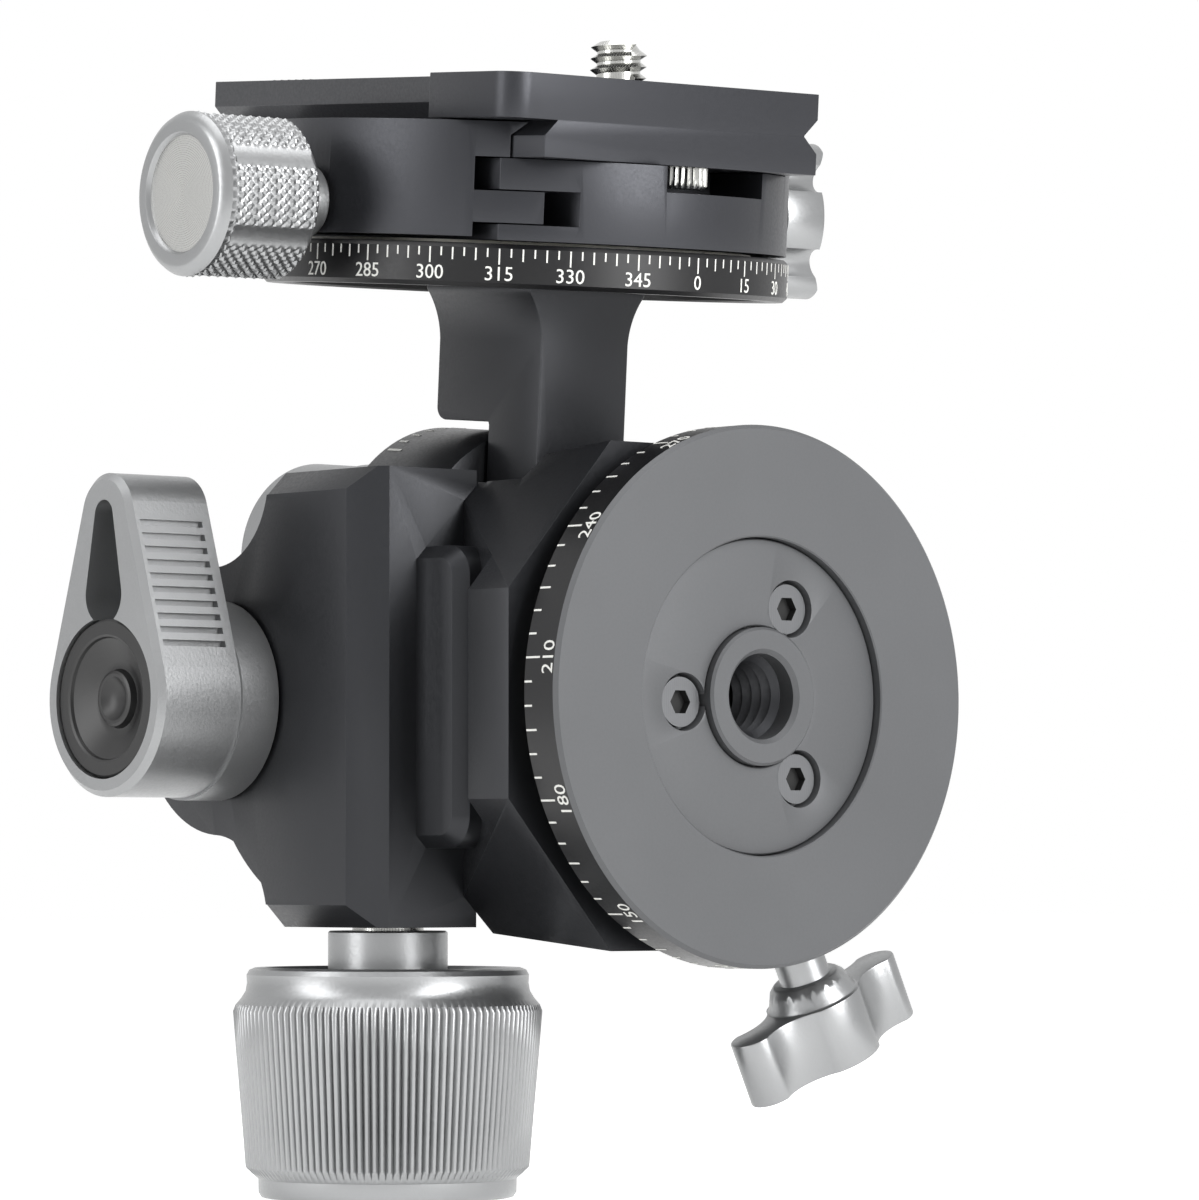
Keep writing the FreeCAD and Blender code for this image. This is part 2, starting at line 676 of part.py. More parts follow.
def teardrop(big_r, tip_r, reach, y, low_z=0.0):
    """Outline of two circles joined by their outer tangents, in a plane of constant y."""
    lean_angle = math.asin((big_r - tip_r) / reach)
    cos_a = math.cos(lean_angle)
    sin_a = math.sin(lean_angle)
    right_low = V(big_r * cos_a, y, low_z + big_r * sin_a)
    right_tip = V(tip_r * cos_a, y, low_z + reach + tip_r * sin_a)
    left_tip = V(-right_tip.x, y, right_tip.z)
    left_low = V(-right_low.x, y, right_low.z)
    tip_arc = Part.Arc(right_tip, V(0, y, low_z + reach + tip_r), left_tip)
    low_arc = Part.Arc(left_low, V(0, y, low_z - big_r), right_low)
    lines = [Part.LineSegment(right_low, right_tip), tip_arc, Part.LineSegment(left_tip, left_low), low_arc]
    return Part.Face(Part.Wire([line.toShape() for line in lines]))


def lever_at_origin():
    """Lever on the Y axis, its outer face at y = 0 and its collar towards +Y."""
    collar_t = LEVER_FACE_Y - LEVER_T - BLOCK_Y - FACE
    arm = teardrop(LEVER_BIG_R, LEVER_TIP_R, LEVER_REACH, 0).extrude(AY * LEVER_T)
    rim = [edge for edge in arm.Edges if edge.BoundBox.YMax < 0.01]
    arm = arm.makeChamfer(LEVER_EDGE, rim)
    pocket_reach = LEVER_REACH - LEVER_POCKET_LOW
    pocket = teardrop(LEVER_POCKET_LOW_R, LEVER_POCKET_TIP_R, pocket_reach, -1, LEVER_POCKET_LOW)
    arm = arm.cut(pocket.extrude(AY * (LEVER_POCKET_D + 1)))
    arm = arm.cut(rod_y(LEVER_CAP_R + SKIN, -1, LEVER_CAP_T + LEVER_CAP_ROOM))
    for i in range(LEVER_RIBS):
        z = LEVER_REACH - 1.0 - i * LEVER_RIB_PITCH
        flank = LEVER_TIP_R + (LEVER_REACH - z) * (LEVER_BIG_R - LEVER_TIP_R) / LEVER_REACH
        arm = arm.cut(block(flank - LEVER_RIB_D, flank + 3, 1.2, LEVER_T - 1.2, z - 0.35, z + 0.35))
    return arm.fuse(rod_y(LEVER_COLLAR_R, LEVER_T, LEVER_T + collar_t))


def lever_body():
    lever = lever_at_origin()
    nut_seat = LEVER_CAP_T + LEVER_CAP_ROOM + LEVER_NUT_T
    lever = lever.cut(rod_y(LEVER_NUT_R + SKIN, 0, nut_seat))
    return lever.cut(rod_y(TILT_SHAFT_R + RUN, 0, FAR))


def lever_cap():
    cap = rod_y(LEVER_CAP_R, LEVER_CAP_SINK, LEVER_CAP_SINK + LEVER_CAP_T)
    face = V(0, LEVER_CAP_SINK, 0)
    funnel = Part.makeCone(LEVER_CAP_CONE_R, LEVER_CAP_DIMPLE_R, LEVER_CAP_CONE_D, face, AY)
    return cap.cut(funnel)


def lever_nut():
    low = LEVER_CAP_T + LEVER_CAP_ROOM
    return rod_y(LEVER_NUT_R, low, low + LEVER_NUT_T).cut(rod_y(TILT_SHAFT_R, 0, 20))


def on_tilt_axis(shape):
    return moved(shape, V(TILT_X, -LEVER_FACE_Y, 0))


ROLL_LEVER_FACE_X = ROLL_HUB_BACK_X - FACE - (LEVER_FACE_Y - BLOCK_Y - FACE)


def on_roll_axis(shape):
    """The same lever behind the roll hub, its outer face towards -X and its arm towards +Y."""
    copy = turned(shape, AZ, V(0, 0, 0), -90)
    copy = turned(copy, AX, V(0, 0, 0), -90)
    return lean(moved(copy, V(ROLL_LEVER_FACE_X, ROLL_Y, ROLL_Z)))


# Tilting rotor

def tilt_rotor():
    """Disc on the tilt axis with the roll drum across it and the hub of the roll shaft behind."""
    disc = rod_y(ROTOR_R, ROTOR_FACE_Y, ROTOR_FACE_Y + ROTOR_T, TILT_X, 0)
    drum = rod_x(DRUM_R, DRUM_BACK_X, DRUM_FRONT_X, ROLL_Y, ROLL_Z)
    hub = rod_x(ROLL_HUB_R, ROLL_HUB_BACK_X, DRUM_BACK_X, ROLL_Y, ROLL_Z)
    web = block(ROLL_HUB_BACK_X + 2, DRUM_FRONT_X - 2, ROTOR_FACE_Y, ROLL_Y + 6, -8, ROLL_Z)
    rotor = disc.fuse(drum).fuse(hub).fuse(web)
    rotor = rotor.cut(rod_x(ROLL_SHAFT_R + RUN, ROLL_HUB_BACK_X - 1, DRUM_FRONT_X + 1, ROLL_Y, ROLL_Z))
    rotor = rotor.cut(rod_y(TILT_SHAFT_R, ROTOR_FACE_Y - 1, ROTOR_FACE_Y + ROTOR_T, TILT_X, 0))
    return lean(rotor.removeSplitter())


def tilt_shaft():
    low = -(LEVER_FACE_Y - LEVER_CAP_T - LEVER_CAP_ROOM)
    return rod_y(TILT_SHAFT_R, low, ROTOR_FACE_Y + ROTOR_T, TILT_X, 0)


def tilt_spacer():
    """Ring between the wheel and the rotor disc."""
    low = WHEEL_LOW_Y + WHEEL_WIDTH
    ring = rod_y(TILT_SHAFT_R + SPACER_WALL, low, ROTOR_FACE_Y, TILT_X, 0)
    return ring.cut(rod_y(TILT_SHAFT_R, low - 1, 0, TILT_X, 0))


def roll_shaft():
    back = ROLL_LEVER_FACE_X + LEVER_CAP_T + LEVER_CAP_ROOM
    return roll_and_lean(rod_x(ROLL_SHAFT_R, back, ARM_FRONT_X - ROLL_STUB_T, ROLL_Y, ROLL_Z))


def roll_washer():
    front = DRUM_FRONT_X + ROLL_WASHER_T
    ring = rod_x(ROLL_WASHER_R, DRUM_FRONT_X, front, ROLL_Y, ROLL_Z)
    return lean(ring.cut(rod_x(ROLL_SHAFT_R + RUN, DRUM_FRONT_X - 1, front + 1, ROLL_Y, ROLL_Z)))


# Arm

ARM_TOP_Z = RING_LOW_Z + RING_HOLLOW_D


def arm_side():
    """Leg in front of the drum and the wider head above it, as a profile of constant y."""
    leg_back = DRUM_FRONT_X + ROLL_WASHER_T
    top = ARM_TOP_Z
    y = ROLL_Y - ARM_HALF_Y
    points = [V(leg_back, y, ROLL_Z), V(ARM_FRONT_X, y, ROLL_Z), V(ARM_FRONT_X, y, top),
              V(ARM_BACK_X, y, top), V(ARM_BACK_X, y, ARM_STEP_Z), V(leg_back, y, ARM_STEP_Z)]
    body = polygon(points).extrude(AY * 2 * ARM_HALF_Y)
    corner = []
    for edge in body.Edges:
        middle = edge.CenterOfMass
        if edge.BoundBox.YLength > 1 and abs(middle.x - ARM_BACK_X) < 0.01 and middle.z < top - 1:
            corner.append(edge)
    body = body.makeFillet(ARM_STEP_R, corner)
    foot = rod_x(ARM_HALF_Y, leg_back, ARM_FRONT_X, ROLL_Y, ROLL_Z)
    return body.fuse(foot)


def arm_flare():
    """Curved widening of the head under the pan ring, on both Y sides."""
    bend = RING_LOW_Z
    inside = ARM_HALF_Y - 0.5
    y_out = ARM_HALF_Y + ARM_FLARE
    low = V(ARM_BACK_X, inside, bend - ARM_FLARE_R)
    edge = V(ARM_BACK_X, ARM_HALF_Y, bend - ARM_FLARE_R)
    middle = V(ARM_BACK_X, ARM_HALF_Y + ARM_FLARE * 0.35, bend - ARM_FLARE_R * 0.42)
    turn = V(ARM_BACK_X, y_out, bend)
    high = V(ARM_BACK_X, y_out, ARM_TOP_Z)
    back = V(ARM_BACK_X, inside, ARM_TOP_Z)
    lines = [Part.LineSegment(low, edge), Part.Arc(edge, middle, turn), Part.LineSegment(turn, high),
             Part.LineSegment(high, back), Part.LineSegment(back, low)]
    half = Part.Face(Part.Wire([line.toShape() for line in lines])).extrude(AX * (ARM_FRONT_X - ARM_BACK_X))
    other = half.mirror(V(0, 0, 0), AY)
    return moved(half.fuse(other), V(0, ROLL_Y, 0))


def arm():
    body = arm_side().fuse(arm_flare())
    body = body.fuse(rod_z(ARM_BOSS_R, ARM_TOP_Z - 1, RING_LOW_Z + RING_T, PAN_X, PAN_Y))
    bore_end = ARM_FRONT_X - ROLL_STUB_T
    body = body.cut(rod_x(ROLL_SHAFT_R, -60, bore_end, ROLL_Y, ROLL_Z))
    return roll_and_lean(body.removeSplitter())


# Panning clamp

RING_TOP_Z = RING_LOW_Z + RING_T
CLAMP_LOW_Z = RING_TOP_Z + CLAMP_SLIP_T
CLAMP_TOP_Z = CLAMP_LOW_Z + CLAMP_T


def pan_ring():
    ring = rod_z(RING_R, RING_LOW_Z, RING_TOP_Z, PAN_X, PAN_Y)
    ring = ring.makeChamfer(RING_CHAMFER, round_edges(ring, RING_R))
    ring = ring.cut(rod_z(RING_HOLLOW_R, RING_LOW_Z - 1, ARM_TOP_Z, PAN_X, PAN_Y))
    return roll_and_lean(ring.cut(rod_z(ARM_BOSS_R + SKIN, RING_LOW_Z - 1, RING_TOP_Z + 1, PAN_X, PAN_Y)))


def pan_hub():
    """Round post under the clamp, with the flange that keeps the clamp on."""
    top = CLAMP_LOW_Z + HUB_LIFT
    post = rod_z(HUB_R, RING_TOP_Z, top, PAN_X, PAN_Y)
    return roll_and_lean(post.fuse(rod_z(HUB_FLANGE_R, top, top + HUB_FLANGE_T, PAN_X, PAN_Y)))


def clamp_slip_ring():
    ring = rod_z(CLAMP_R - 4, RING_TOP_Z, CLAMP_LOW_Z, PAN_X, PAN_Y)
    return roll_and_lean(ring.cut(rod_z(HUB_R + 2, RING_TOP_Z - 1, CLAMP_LOW_Z + 1, PAN_X, PAN_Y)))


CHANNEL_TOP_Z = CLAMP_TOP_Z + JAW_RISE


def notch_profile(half, gap, low, high):
    """Side of the dovetail from low to high: points from the wall in to the ridge and back."""
    ridge_z = CLAMP_TOP_Z + PLATE_LIFT + PLATE_NOTCH_Z
    ridge = PLATE_NOTCH_D
    return [(half + gap, low), (half + gap, ridge_z - ridge), (half - ridge + gap, ridge_z),
            (half + gap, ridge_z + ridge), (half + gap, high)]


def dovetail_room():
    """Room of the plate above the clamp's deck, with a ridge along each jaw."""
    side = notch_profile(PLATE_HALF_W, FACE, CLAMP_TOP_Z, CHANNEL_TOP_Z + 1)
    x = PAN_X - RING_R - 1
    right = [V(x, PAN_Y + y, z) for y, z in side]
    left = [V(x, PAN_Y - y, z) for y, z in reversed(side)]
    return polygon(right + left).extrude(AX * (2 * RING_R + 2))


def clamp_round(low, high):
    return rod_z(CLAMP_R, low, high, PAN_X, PAN_Y)


def across(y_low, y_high, z_low, z_high):
    return block(PAN_X - FAR, PAN_X + FAR, PAN_Y + y_low, PAN_Y + y_high, z_low, z_high)


COMB_LOW = CLAMP_LOW_Z + COMB_LOW_T
COMB_HIGH = COMB_LOW + COMB_FINGER_T
JAW_INNER_Y = -PLATE_HALF_W - FACE + PLATE_NOTCH_D + 1
LOCK_Y = PAN_Y + math.sqrt(CLAMP_R ** 2 - WING_COLLAR_R ** 2)


def clamp_body():
    """Fixed half of the clamp: round deck, far jaw, and the slots for the moving jaw's finger."""
    body = clamp_round(CLAMP_LOW_Z, CHANNEL_TOP_Z).cut(dovetail_room())
    body = body.cut(across(-FAR, JAW_SPLIT_Y + JAW_GAP, CLAMP_LOW_Z - 1, CHANNEL_TOP_Z + 1))
    body = body.cut(across(-FAR, -5, CLAMP_TOP_Z, CHANNEL_TOP_Z + 1))
    finger_end = JAW_SPLIT_Y + COMB_REACH + COMB_SLACK
    body = body.cut(across(-FAR, finger_end, COMB_LOW - COMB_GAP, COMB_HIGH + COMB_GAP))
    body = body.cut(rod_z(HUB_R + RUN, CLAMP_LOW_Z - 1, CLAMP_LOW_Z + HUB_LIFT, PAN_X, PAN_Y))
    flange_top = CLAMP_LOW_Z + HUB_LIFT + HUB_FLANGE_T + FACE
    body = body.cut(rod_z(HUB_FLANGE_R + FACE, CLAMP_LOW_Z + HUB_LIFT - FACE, flange_top, PAN_X, PAN_Y))
    body = body.cut(rod_y(CLAMP_SCREW_R + RUN, PAN_Y - FAR, PAN_Y - CLAMP_SCREW_END, PAN_X, KNOB_Z))
    stud_end = LOCK_Y - CLAMP_LOCK_STUD
    body = body.cut(rod_y(WING_STUD_R + RUN, stud_end - 1, PAN_Y + FAR, PAN_X, CLAMP_LOCK_STUD_Z))
    stop_end = PAN_X + STOP_X - STOP_R - STOP_TRAVEL - FACE
    body = body.cut(block(stop_end, PAN_X + FAR, PAN_Y + STOP_ROOM_LOW_Y, PAN_Y + STOP_ROOM_HIGH_Y,
                          CLAMP_TOP_Z - STOP_ROOM_T, CLAMP_TOP_Z + 1))
    return pan_and_lean(body.removeSplitter())


def clamp_jaw():
    """Moving half of the clamp, whose middle finger slides in the body's slot."""
    jaw = clamp_round(CLAMP_LOW_Z + FACE, CHANNEL_TOP_Z).cut(dovetail_room())
    region = across(-FAR, JAW_SPLIT_Y, CLAMP_LOW_Z, CHANNEL_TOP_Z + 1)
    region = region.fuse(across(-FAR, JAW_INNER_Y, CLAMP_TOP_Z + PLATE_LIFT, CHANNEL_TOP_Z + 1))
    region = region.fuse(across(-FAR, JAW_SPLIT_Y + COMB_REACH, COMB_LOW, COMB_HIGH))
    jaw = jaw.common(region)
    jaw = jaw.cut(rod_y(CLAMP_SCREW_R + RUN, PAN_Y - FAR, PAN_Y, PAN_X, KNOB_Z))
    return pan_and_lean(jaw.removeSplitter())


def clamp_knob():
    """Fluted knob on the moving jaw's screw, with a dished end."""
    neck_y = PAN_Y - CLAMP_R - KNOB_NECK_GAP
    seat = neck_y - KNOB_NECK_LENGTH
    face = seat - KNOB_LENGTH
    near = KNOB_NECK_LENGTH
    end = near + KNOB_LENGTH
    knob = turned_profile([(0, 0), (0, KNOB_NECK_R), (near, KNOB_NECK_R), (near, KNOB_R - KNOB_EDGE),
                           (near + KNOB_EDGE, KNOB_R), (end + KNOB_FACE_R - KNOB_R, KNOB_R),
                           (end, KNOB_FACE_R), (end, KNOB_DISH_R),
                           (end - KNOB_DISH_D, KNOB_DISH_R - KNOB_EDGE), (end - KNOB_DISH_D, 0)],
                          V(PAN_X, neck_y, KNOB_Z), -AY, AX)
    for angle in ring_of(KNOB_FLUTES, 30):
        out = KNOB_R + KNOB_FLUTE_R - KNOB_FLUTE_D
        x = PAN_X + out * math.cos(math.radians(angle))
        z = KNOB_Z + out * math.sin(math.radians(angle))
        knob = knob.cut(rod_y(KNOB_FLUTE_R, face + KNOB_FLUTE_END, seat + 1, x, z))
    knob = knob.cut(rod_y(CLAMP_SCREW_R, face + KNOB_WEB, 0, PAN_X, KNOB_Z))
    return pan_and_lean(knob)


def clamp_screw():
    seat = PAN_Y - CLAMP_R - KNOB_NECK_GAP - KNOB_NECK_LENGTH
    low = seat - KNOB_LENGTH + KNOB_WEB
    return pan_and_lean(rod_y(CLAMP_SCREW_R, low, PAN_Y - CLAMP_SCREW_END, PAN_X, KNOB_Z))


# Camera plate

PLATE_LOW_Z = CLAMP_TOP_Z + PLATE_LIFT
PLATE_TOP_Z = PLATE_LOW_Z + PLATE_T


def plate_side():
    return notch_profile(PLATE_HALF_W, 0.0, PLATE_LOW_Z, PLATE_TOP_Z)


def vertical_edges(shape, x, y):
    found = []
    for edge in shape.Edges:
        box = edge.BoundBox
        middle = edge.CenterOfMass
        if box.ZLength > 0.5 and box.XLength < 0.01:
            if abs(middle.x - x) < 0.01 and abs(middle.y - y) < 0.01:
                found.append(edge)
    return found


def slot(x_low, x_high, half, z_low, z_high):
    bar = block(x_low, x_high, PAN_Y - half, PAN_Y + half, z_low, z_high)
    return bar.fuse(rod_z(half, z_low, z_high, x_low, PAN_Y)).fuse(rod_z(half, z_low, z_high, x_high, PAN_Y))


def camera_plate():
    """Dovetail plate with a slot for the camera screw and an ear over the moving jaw."""
    back = PAN_X + PLATE_BACK
    front = PAN_X + PLATE_FRONT
    side = plate_side()
    right = [V(back, PAN_Y + y, z) for y, z in side]
    left = [V(back, PAN_Y - y, z) for y, z in reversed(side)]
    plate = polygon(right + left).extrude(AX * (front - back))
    outer = PAN_Y - PLATE_HALF_W - WING_PLATE_W
    ear = block(front - WING_PLATE_LENGTH, front, outer, PAN_Y, PLATE_TOP_Z - WING_PLATE_T, PLATE_TOP_Z)
    ear = ear.makeFillet(PLATE_CORNER_R, vertical_edges(ear, front, outer))
    plate = plate.fuse(ear)
    room_back = PAN_X + SLOT_BACK
    room_front = PAN_X + SLOT_FRONT
    last = room_front - SLOT_ROOM_HALF
    room_top = PLATE_LOW_Z + SLOT_ROOM_T
    plate = plate.cut(slot(room_back, last, SLOT_ROOM_HALF, PLATE_LOW_Z - 1, room_top))
    narrow = CAMERA_R + SLOT_SIDE_GAP
    plate = plate.cut(slot(room_back, last + SLOT_END, narrow, PLATE_LOW_Z, PLATE_TOP_Z + 1))
    x = PAN_X + PAD_BACK
    plate = plate.cut(block(x, x + PAD_LENGTH, PAN_Y - PAD_HALF_W, PAN_Y + PAD_HALF_W,
                            PLATE_TOP_Z - PAD_T, PLATE_TOP_Z + 1))
    return pan_and_lean(plate.removeSplitter())


def plate_pad():
    """Ribbed rubber strip let into the top of the plate."""
    x = PAN_X + PAD_BACK
    low = PLATE_TOP_Z - PAD_T
    near = PAN_Y - PAD_HALF_W
    root = PLATE_TOP_Z - 0.1
    pad = block(x, x + PAD_LENGTH, near, PAN_Y + PAD_HALF_W, low, PLATE_TOP_Z)
    for i in range(int(PAD_LENGTH / PAD_RIB_PITCH)):
        middle = x + (i + 0.5) * PAD_RIB_PITCH
        rib = polygon([V(middle - PAD_SHOW, near, root), V(middle + PAD_SHOW, near, root),
                       V(middle, near, PLATE_TOP_Z + PAD_SHOW)])
        pad = pad.fuse(rib.extrude(AY * 2 * PAD_HALF_W))
    return pan_and_lean(pad)


CAMERA_X = PAN_X + CAMERA_REST


def camera_screw():
    """Camera screw: flat head under the plate, plain shank in the slot, threaded tip above."""
    head_low = PLATE_LOW_Z + SLOT_ROOM_T - FACE / 2 - CAMERA_HEAD_T
    head = rod_z(CAMERA_HEAD_R, head_low, head_low + CAMERA_HEAD_T, CAMERA_X, PAN_Y)
    shank = rod_z(CAMERA_SHANK_R, head_low, PLATE_TOP_Z + 1, CAMERA_X, PAN_Y)
    thread_low = PLATE_TOP_Z + CAMERA_THREAD_LIFT
    thread_top = PLATE_TOP_Z + CAMERA_TIP
    thread = rod_z(CAMERA_R, thread_low, thread_top, CAMERA_X, PAN_Y)
    tip = [edge for edge in round_edges(thread, CAMERA_R) if edge.BoundBox.ZMin > thread_low + 1]
    thread = thread.makeChamfer(CAMERA_CHAMFER, tip)
    return pan_and_lean(head.fuse(shank).fuse(thread).removeSplitter())


def plate_stop():
    """Knurled safety stop under the plate, in the recess of the clamp's deck."""
    x = PAN_X + STOP_X
    y = PAN_Y + STOP_Y
    return pan_and_lean(rod_z(STOP_R, PLATE_LOW_Z - STOP_T, PLATE_LOW_Z, x, y))


# Wing knobs, drawn with their axis along +Z and their stud below z = 0

def wing_outline(half_span):
    """Two round tips joined to the hub by hollow curves."""
    tip = half_span - WING_TIP_R
    hub_x = WING_HUB_R * 0.6
    hub_y = WING_HUB_R * 0.8
    waist = (tip + hub_x) / 2
    quarter = [(half_span, 0), (tip, WING_TIP_R), (waist, WING_WAIST), (hub_x, hub_y)]
    upper = quarter + [(0, WING_HUB_R)] + [(-x, y) for x, y in reversed(quarter)]
    around = upper + [(-x, -y) for x, y in upper[1:-1]]
    points = [V(x, y, 0) for x, y in around]
    arcs = []
    for i in range(1, len(points), 2):
        end = points[(i + 2) % len(points)]
        arcs.append(Part.Arc(points[i], points[(i + 1) % len(points)], end))
    return Part.Face(Part.Wire([arc.toShape() for arc in arcs]))


def wing_knob(half_span, neck):
    """Knob: plain neck, flared collar, then the winged grip."""
    grip_low = neck + WING_COLLAR_T
    collar = turned_profile([(0, 0), (0, WING_SHAFT_R), (neck, WING_SHAFT_R), (neck, WING_COLLAR_R - 0.6),
                             (neck + 0.6, WING_COLLAR_R), (grip_low, WING_HUB_R - 0.4),
                             (grip_low + 1, WING_HUB_R - 0.4), (grip_low + 1, 0)], V(0, 0, 0), AZ, AX)
    grip = moved(wing_outline(half_span).extrude(AZ * WING_T), V(0, 0, grip_low))
    return collar.fuse(grip).cut(rod_z(WING_STUD_R, -1, grip_low + STUD_SINK))


def placed(shape, start, direction, roll):
    """Turn a knob drawn along +Z to a direction, after a roll about its own axis."""
    copy = turned(shape, AZ, V(0, 0, 0), roll)
    copy.Placement = FreeCAD.Placement(start, FreeCAD.Rotation(AZ, direction)).multiply(copy.Placement)
    return copy


def pan_lock_start():
    return V(PAN_LOCK_X, 0, 0) + pan_lock_axis() * PAN_LOCK_REACH


def pan_lock_knob():
    knob = wing_knob(PAN_LOCK_HALF, PAN_LOCK_NECK)
    return placed(knob, pan_lock_start(), pan_lock_axis(), 90)


def pan_lock_screw():
    reach = PAN_LOCK_REACH + PAN_LOCK_NECK + WING_COLLAR_T + STUD_SINK
    start = V(PAN_LOCK_X, 0, 0) + pan_lock_axis() * PAN_LOCK_SCREW_END
    return rod(WING_STUD_R, start, pan_lock_axis(), reach - PAN_LOCK_SCREW_END)


def pan_lock_shoe():
    inner = SPINDLE_R + 2 * RUN
    start = V(PAN_LOCK_X, 0, 0) + pan_lock_axis() * inner
    return rod(SHOE_R, start, pan_lock_axis(), PAN_LOCK_SCREW_END - inner)


def clamp_lock_knob():
    knob = wing_knob(CLAMP_LOCK_HALF, CLAMP_LOCK_NECK)
    top = CLAMP_LOCK_NECK + WING_COLLAR_T + WING_T
    scoop = rod(CLAMP_LOCK_SCOOP_R, V(0, -20, top + CLAMP_LOCK_SCOOP_R - CLAMP_LOCK_SCOOP_D), AY, 40)
    knob = knob.cut(scoop)
    return pan_and_lean(placed(knob, V(PAN_X, LOCK_Y + CLAMP_LOCK_GAP, CLAMP_LOCK_STUD_Z), AY, 90))


def clamp_lock_screw():
    high = LOCK_Y + CLAMP_LOCK_GAP + CLAMP_LOCK_NECK + WING_COLLAR_T + STUD_SINK
    return pan_and_lean(rod_y(WING_STUD_R, LOCK_Y - CLAMP_LOCK_STUD, high, PAN_X, CLAMP_LOCK_STUD_Z))


WRITERS = {
    "base_plate": base_plate,
    "base_retainer": base_retainer,
    "base_screws": base_screws,
    "thread_bush": thread_bush,
    "pan_spindle": pan_spindle,
    "pan_slip_ring": pan_slip_ring,
    "main_body": main_body,
    "spindle_cap": spindle_cap,
    "worm": worm,
    "worm_bush_upper": worm_bush_upper,
    "worm_bearing_lower": worm_bearing_lower,
    "ribbed_knob": ribbed_knob,
    "ribbed_knob_cap": ribbed_knob_cap,
    "ribbed_knob_screw": ribbed_knob_screw,
    "tilt_lever": lambda: on_tilt_axis(lever_body()),
    "tilt_lever_cap": lambda: on_tilt_axis(lever_cap()),
    "tilt_lever_nut": lambda: on_tilt_axis(lever_nut()),
    "tilt_rotor": tilt_rotor,
    "worm_wheel": worm_wheel,
    "tilt_shaft": tilt_shaft,
    "tilt_spacer": tilt_spacer,
    "roll_shaft": roll_shaft,
    "roll_washer": roll_washer,
    "arm": arm,
    "roll_lever": lambda: on_roll_axis(lever_body()),
    "roll_lever_cap": lambda: on_roll_axis(lever_cap()),
    "roll_lever_nut": lambda: on_roll_axis(lever_nut()),
    "pan_ring": pan_ring,
    "pan_hub": pan_hub,
    "clamp_slip_ring": clamp_slip_ring,
    "clamp_body": clamp_body,
    "clamp_jaw": clamp_jaw,
    "clamp_knob": clamp_knob,
    "clamp_screw": clamp_screw,
    "camera_plate": camera_plate,
    "plate_pad": plate_pad,
    "camera_screw": camera_screw,
    "plate_stop": plate_stop,
    "pan_lock_knob": pan_lock_knob,
    "pan_lock_screw": pan_lock_screw,
    "pan_lock_shoe": pan_lock_shoe,
    "clamp_lock_knob": clamp_lock_knob,
    "clamp_lock_screw": clamp_lock_screw,
}

for name, make in WRITERS.items():
    shape = make()
    print(name, "solids", len(shape.Solids), "valid", shape.isValid(), "volume", round(shape.Volume, 1))
    shape.exportStep("parts/" + name + ".step")
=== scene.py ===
# %% [markdown]
# Geared tripod head, seen as in its product photograph. The CAD nodes carry the exact shapes and the
# joints. Here they get their finishes, and the pieces that need finer detail are modelled again:
# threads, knurling, ribs, engraved scales and softened edges. Everything is in metres, and the small
# constant MM lets sizes be written in millimetres, as on a drawing.

# %% Load the frame
import json
import math

import bmesh
import bpy
from mathutils import Matrix, Vector


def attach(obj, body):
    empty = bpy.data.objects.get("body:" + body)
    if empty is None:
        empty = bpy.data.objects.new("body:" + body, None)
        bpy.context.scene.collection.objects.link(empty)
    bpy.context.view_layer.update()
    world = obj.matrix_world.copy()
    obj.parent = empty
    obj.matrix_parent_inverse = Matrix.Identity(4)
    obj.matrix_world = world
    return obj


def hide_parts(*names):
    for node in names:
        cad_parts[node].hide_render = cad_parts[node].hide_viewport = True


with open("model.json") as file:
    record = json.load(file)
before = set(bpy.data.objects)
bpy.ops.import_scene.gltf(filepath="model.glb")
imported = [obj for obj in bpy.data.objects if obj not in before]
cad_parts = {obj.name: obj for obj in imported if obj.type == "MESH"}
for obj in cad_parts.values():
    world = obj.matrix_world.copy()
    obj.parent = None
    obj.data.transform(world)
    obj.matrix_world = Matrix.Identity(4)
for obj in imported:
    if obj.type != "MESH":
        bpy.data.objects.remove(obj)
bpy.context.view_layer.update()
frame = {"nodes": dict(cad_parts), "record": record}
MM = 0.001

# %% [markdown]
# The arm leans five degrees past square, the roll axis is a degree off, and the clamp is panned three
# degrees. A piece of that group is easiest to make square and then turned, so these matrices repeat
# the turns of the drawing, one inside the next.

# %% Rest pose of the tilting group
TILT_X = -53.5
ROLL_Y, ROLL_Z = -4.5, 16.3
PAN_X, PAN_Y = -39.4, -4.5


def turn_about(x, y, z, degrees, axis):
    base = Matrix.Translation(Vector((x, y, z)) * MM)
    return base @ Matrix.Rotation(math.radians(degrees), 4, axis) @ base.inverted()


TILT_REST = turn_about(TILT_X, 0, 0, 5.0, "Y")
ROLL_REST = TILT_REST @ turn_about(0, ROLL_Y, ROLL_Z, 1.15, "X")
CLAMP_REST = ROLL_REST @ turn_about(PAN_X, PAN_Y, 0, -3.0, "Z")
AXIS = {"X": Vector((1, 0, 0)), "Y": Vector((0, 1, 0)), "Z": Vector((0, 0, 1))}

# %% [markdown]
# The photograph was taken from the front right of the base disc with a long lens, almost level. The
# place below comes from measuring the disc and the plate in it. A level camera would need a large
# vertical shift, so the camera is pitched up two and a half degrees instead and keeps no shift.

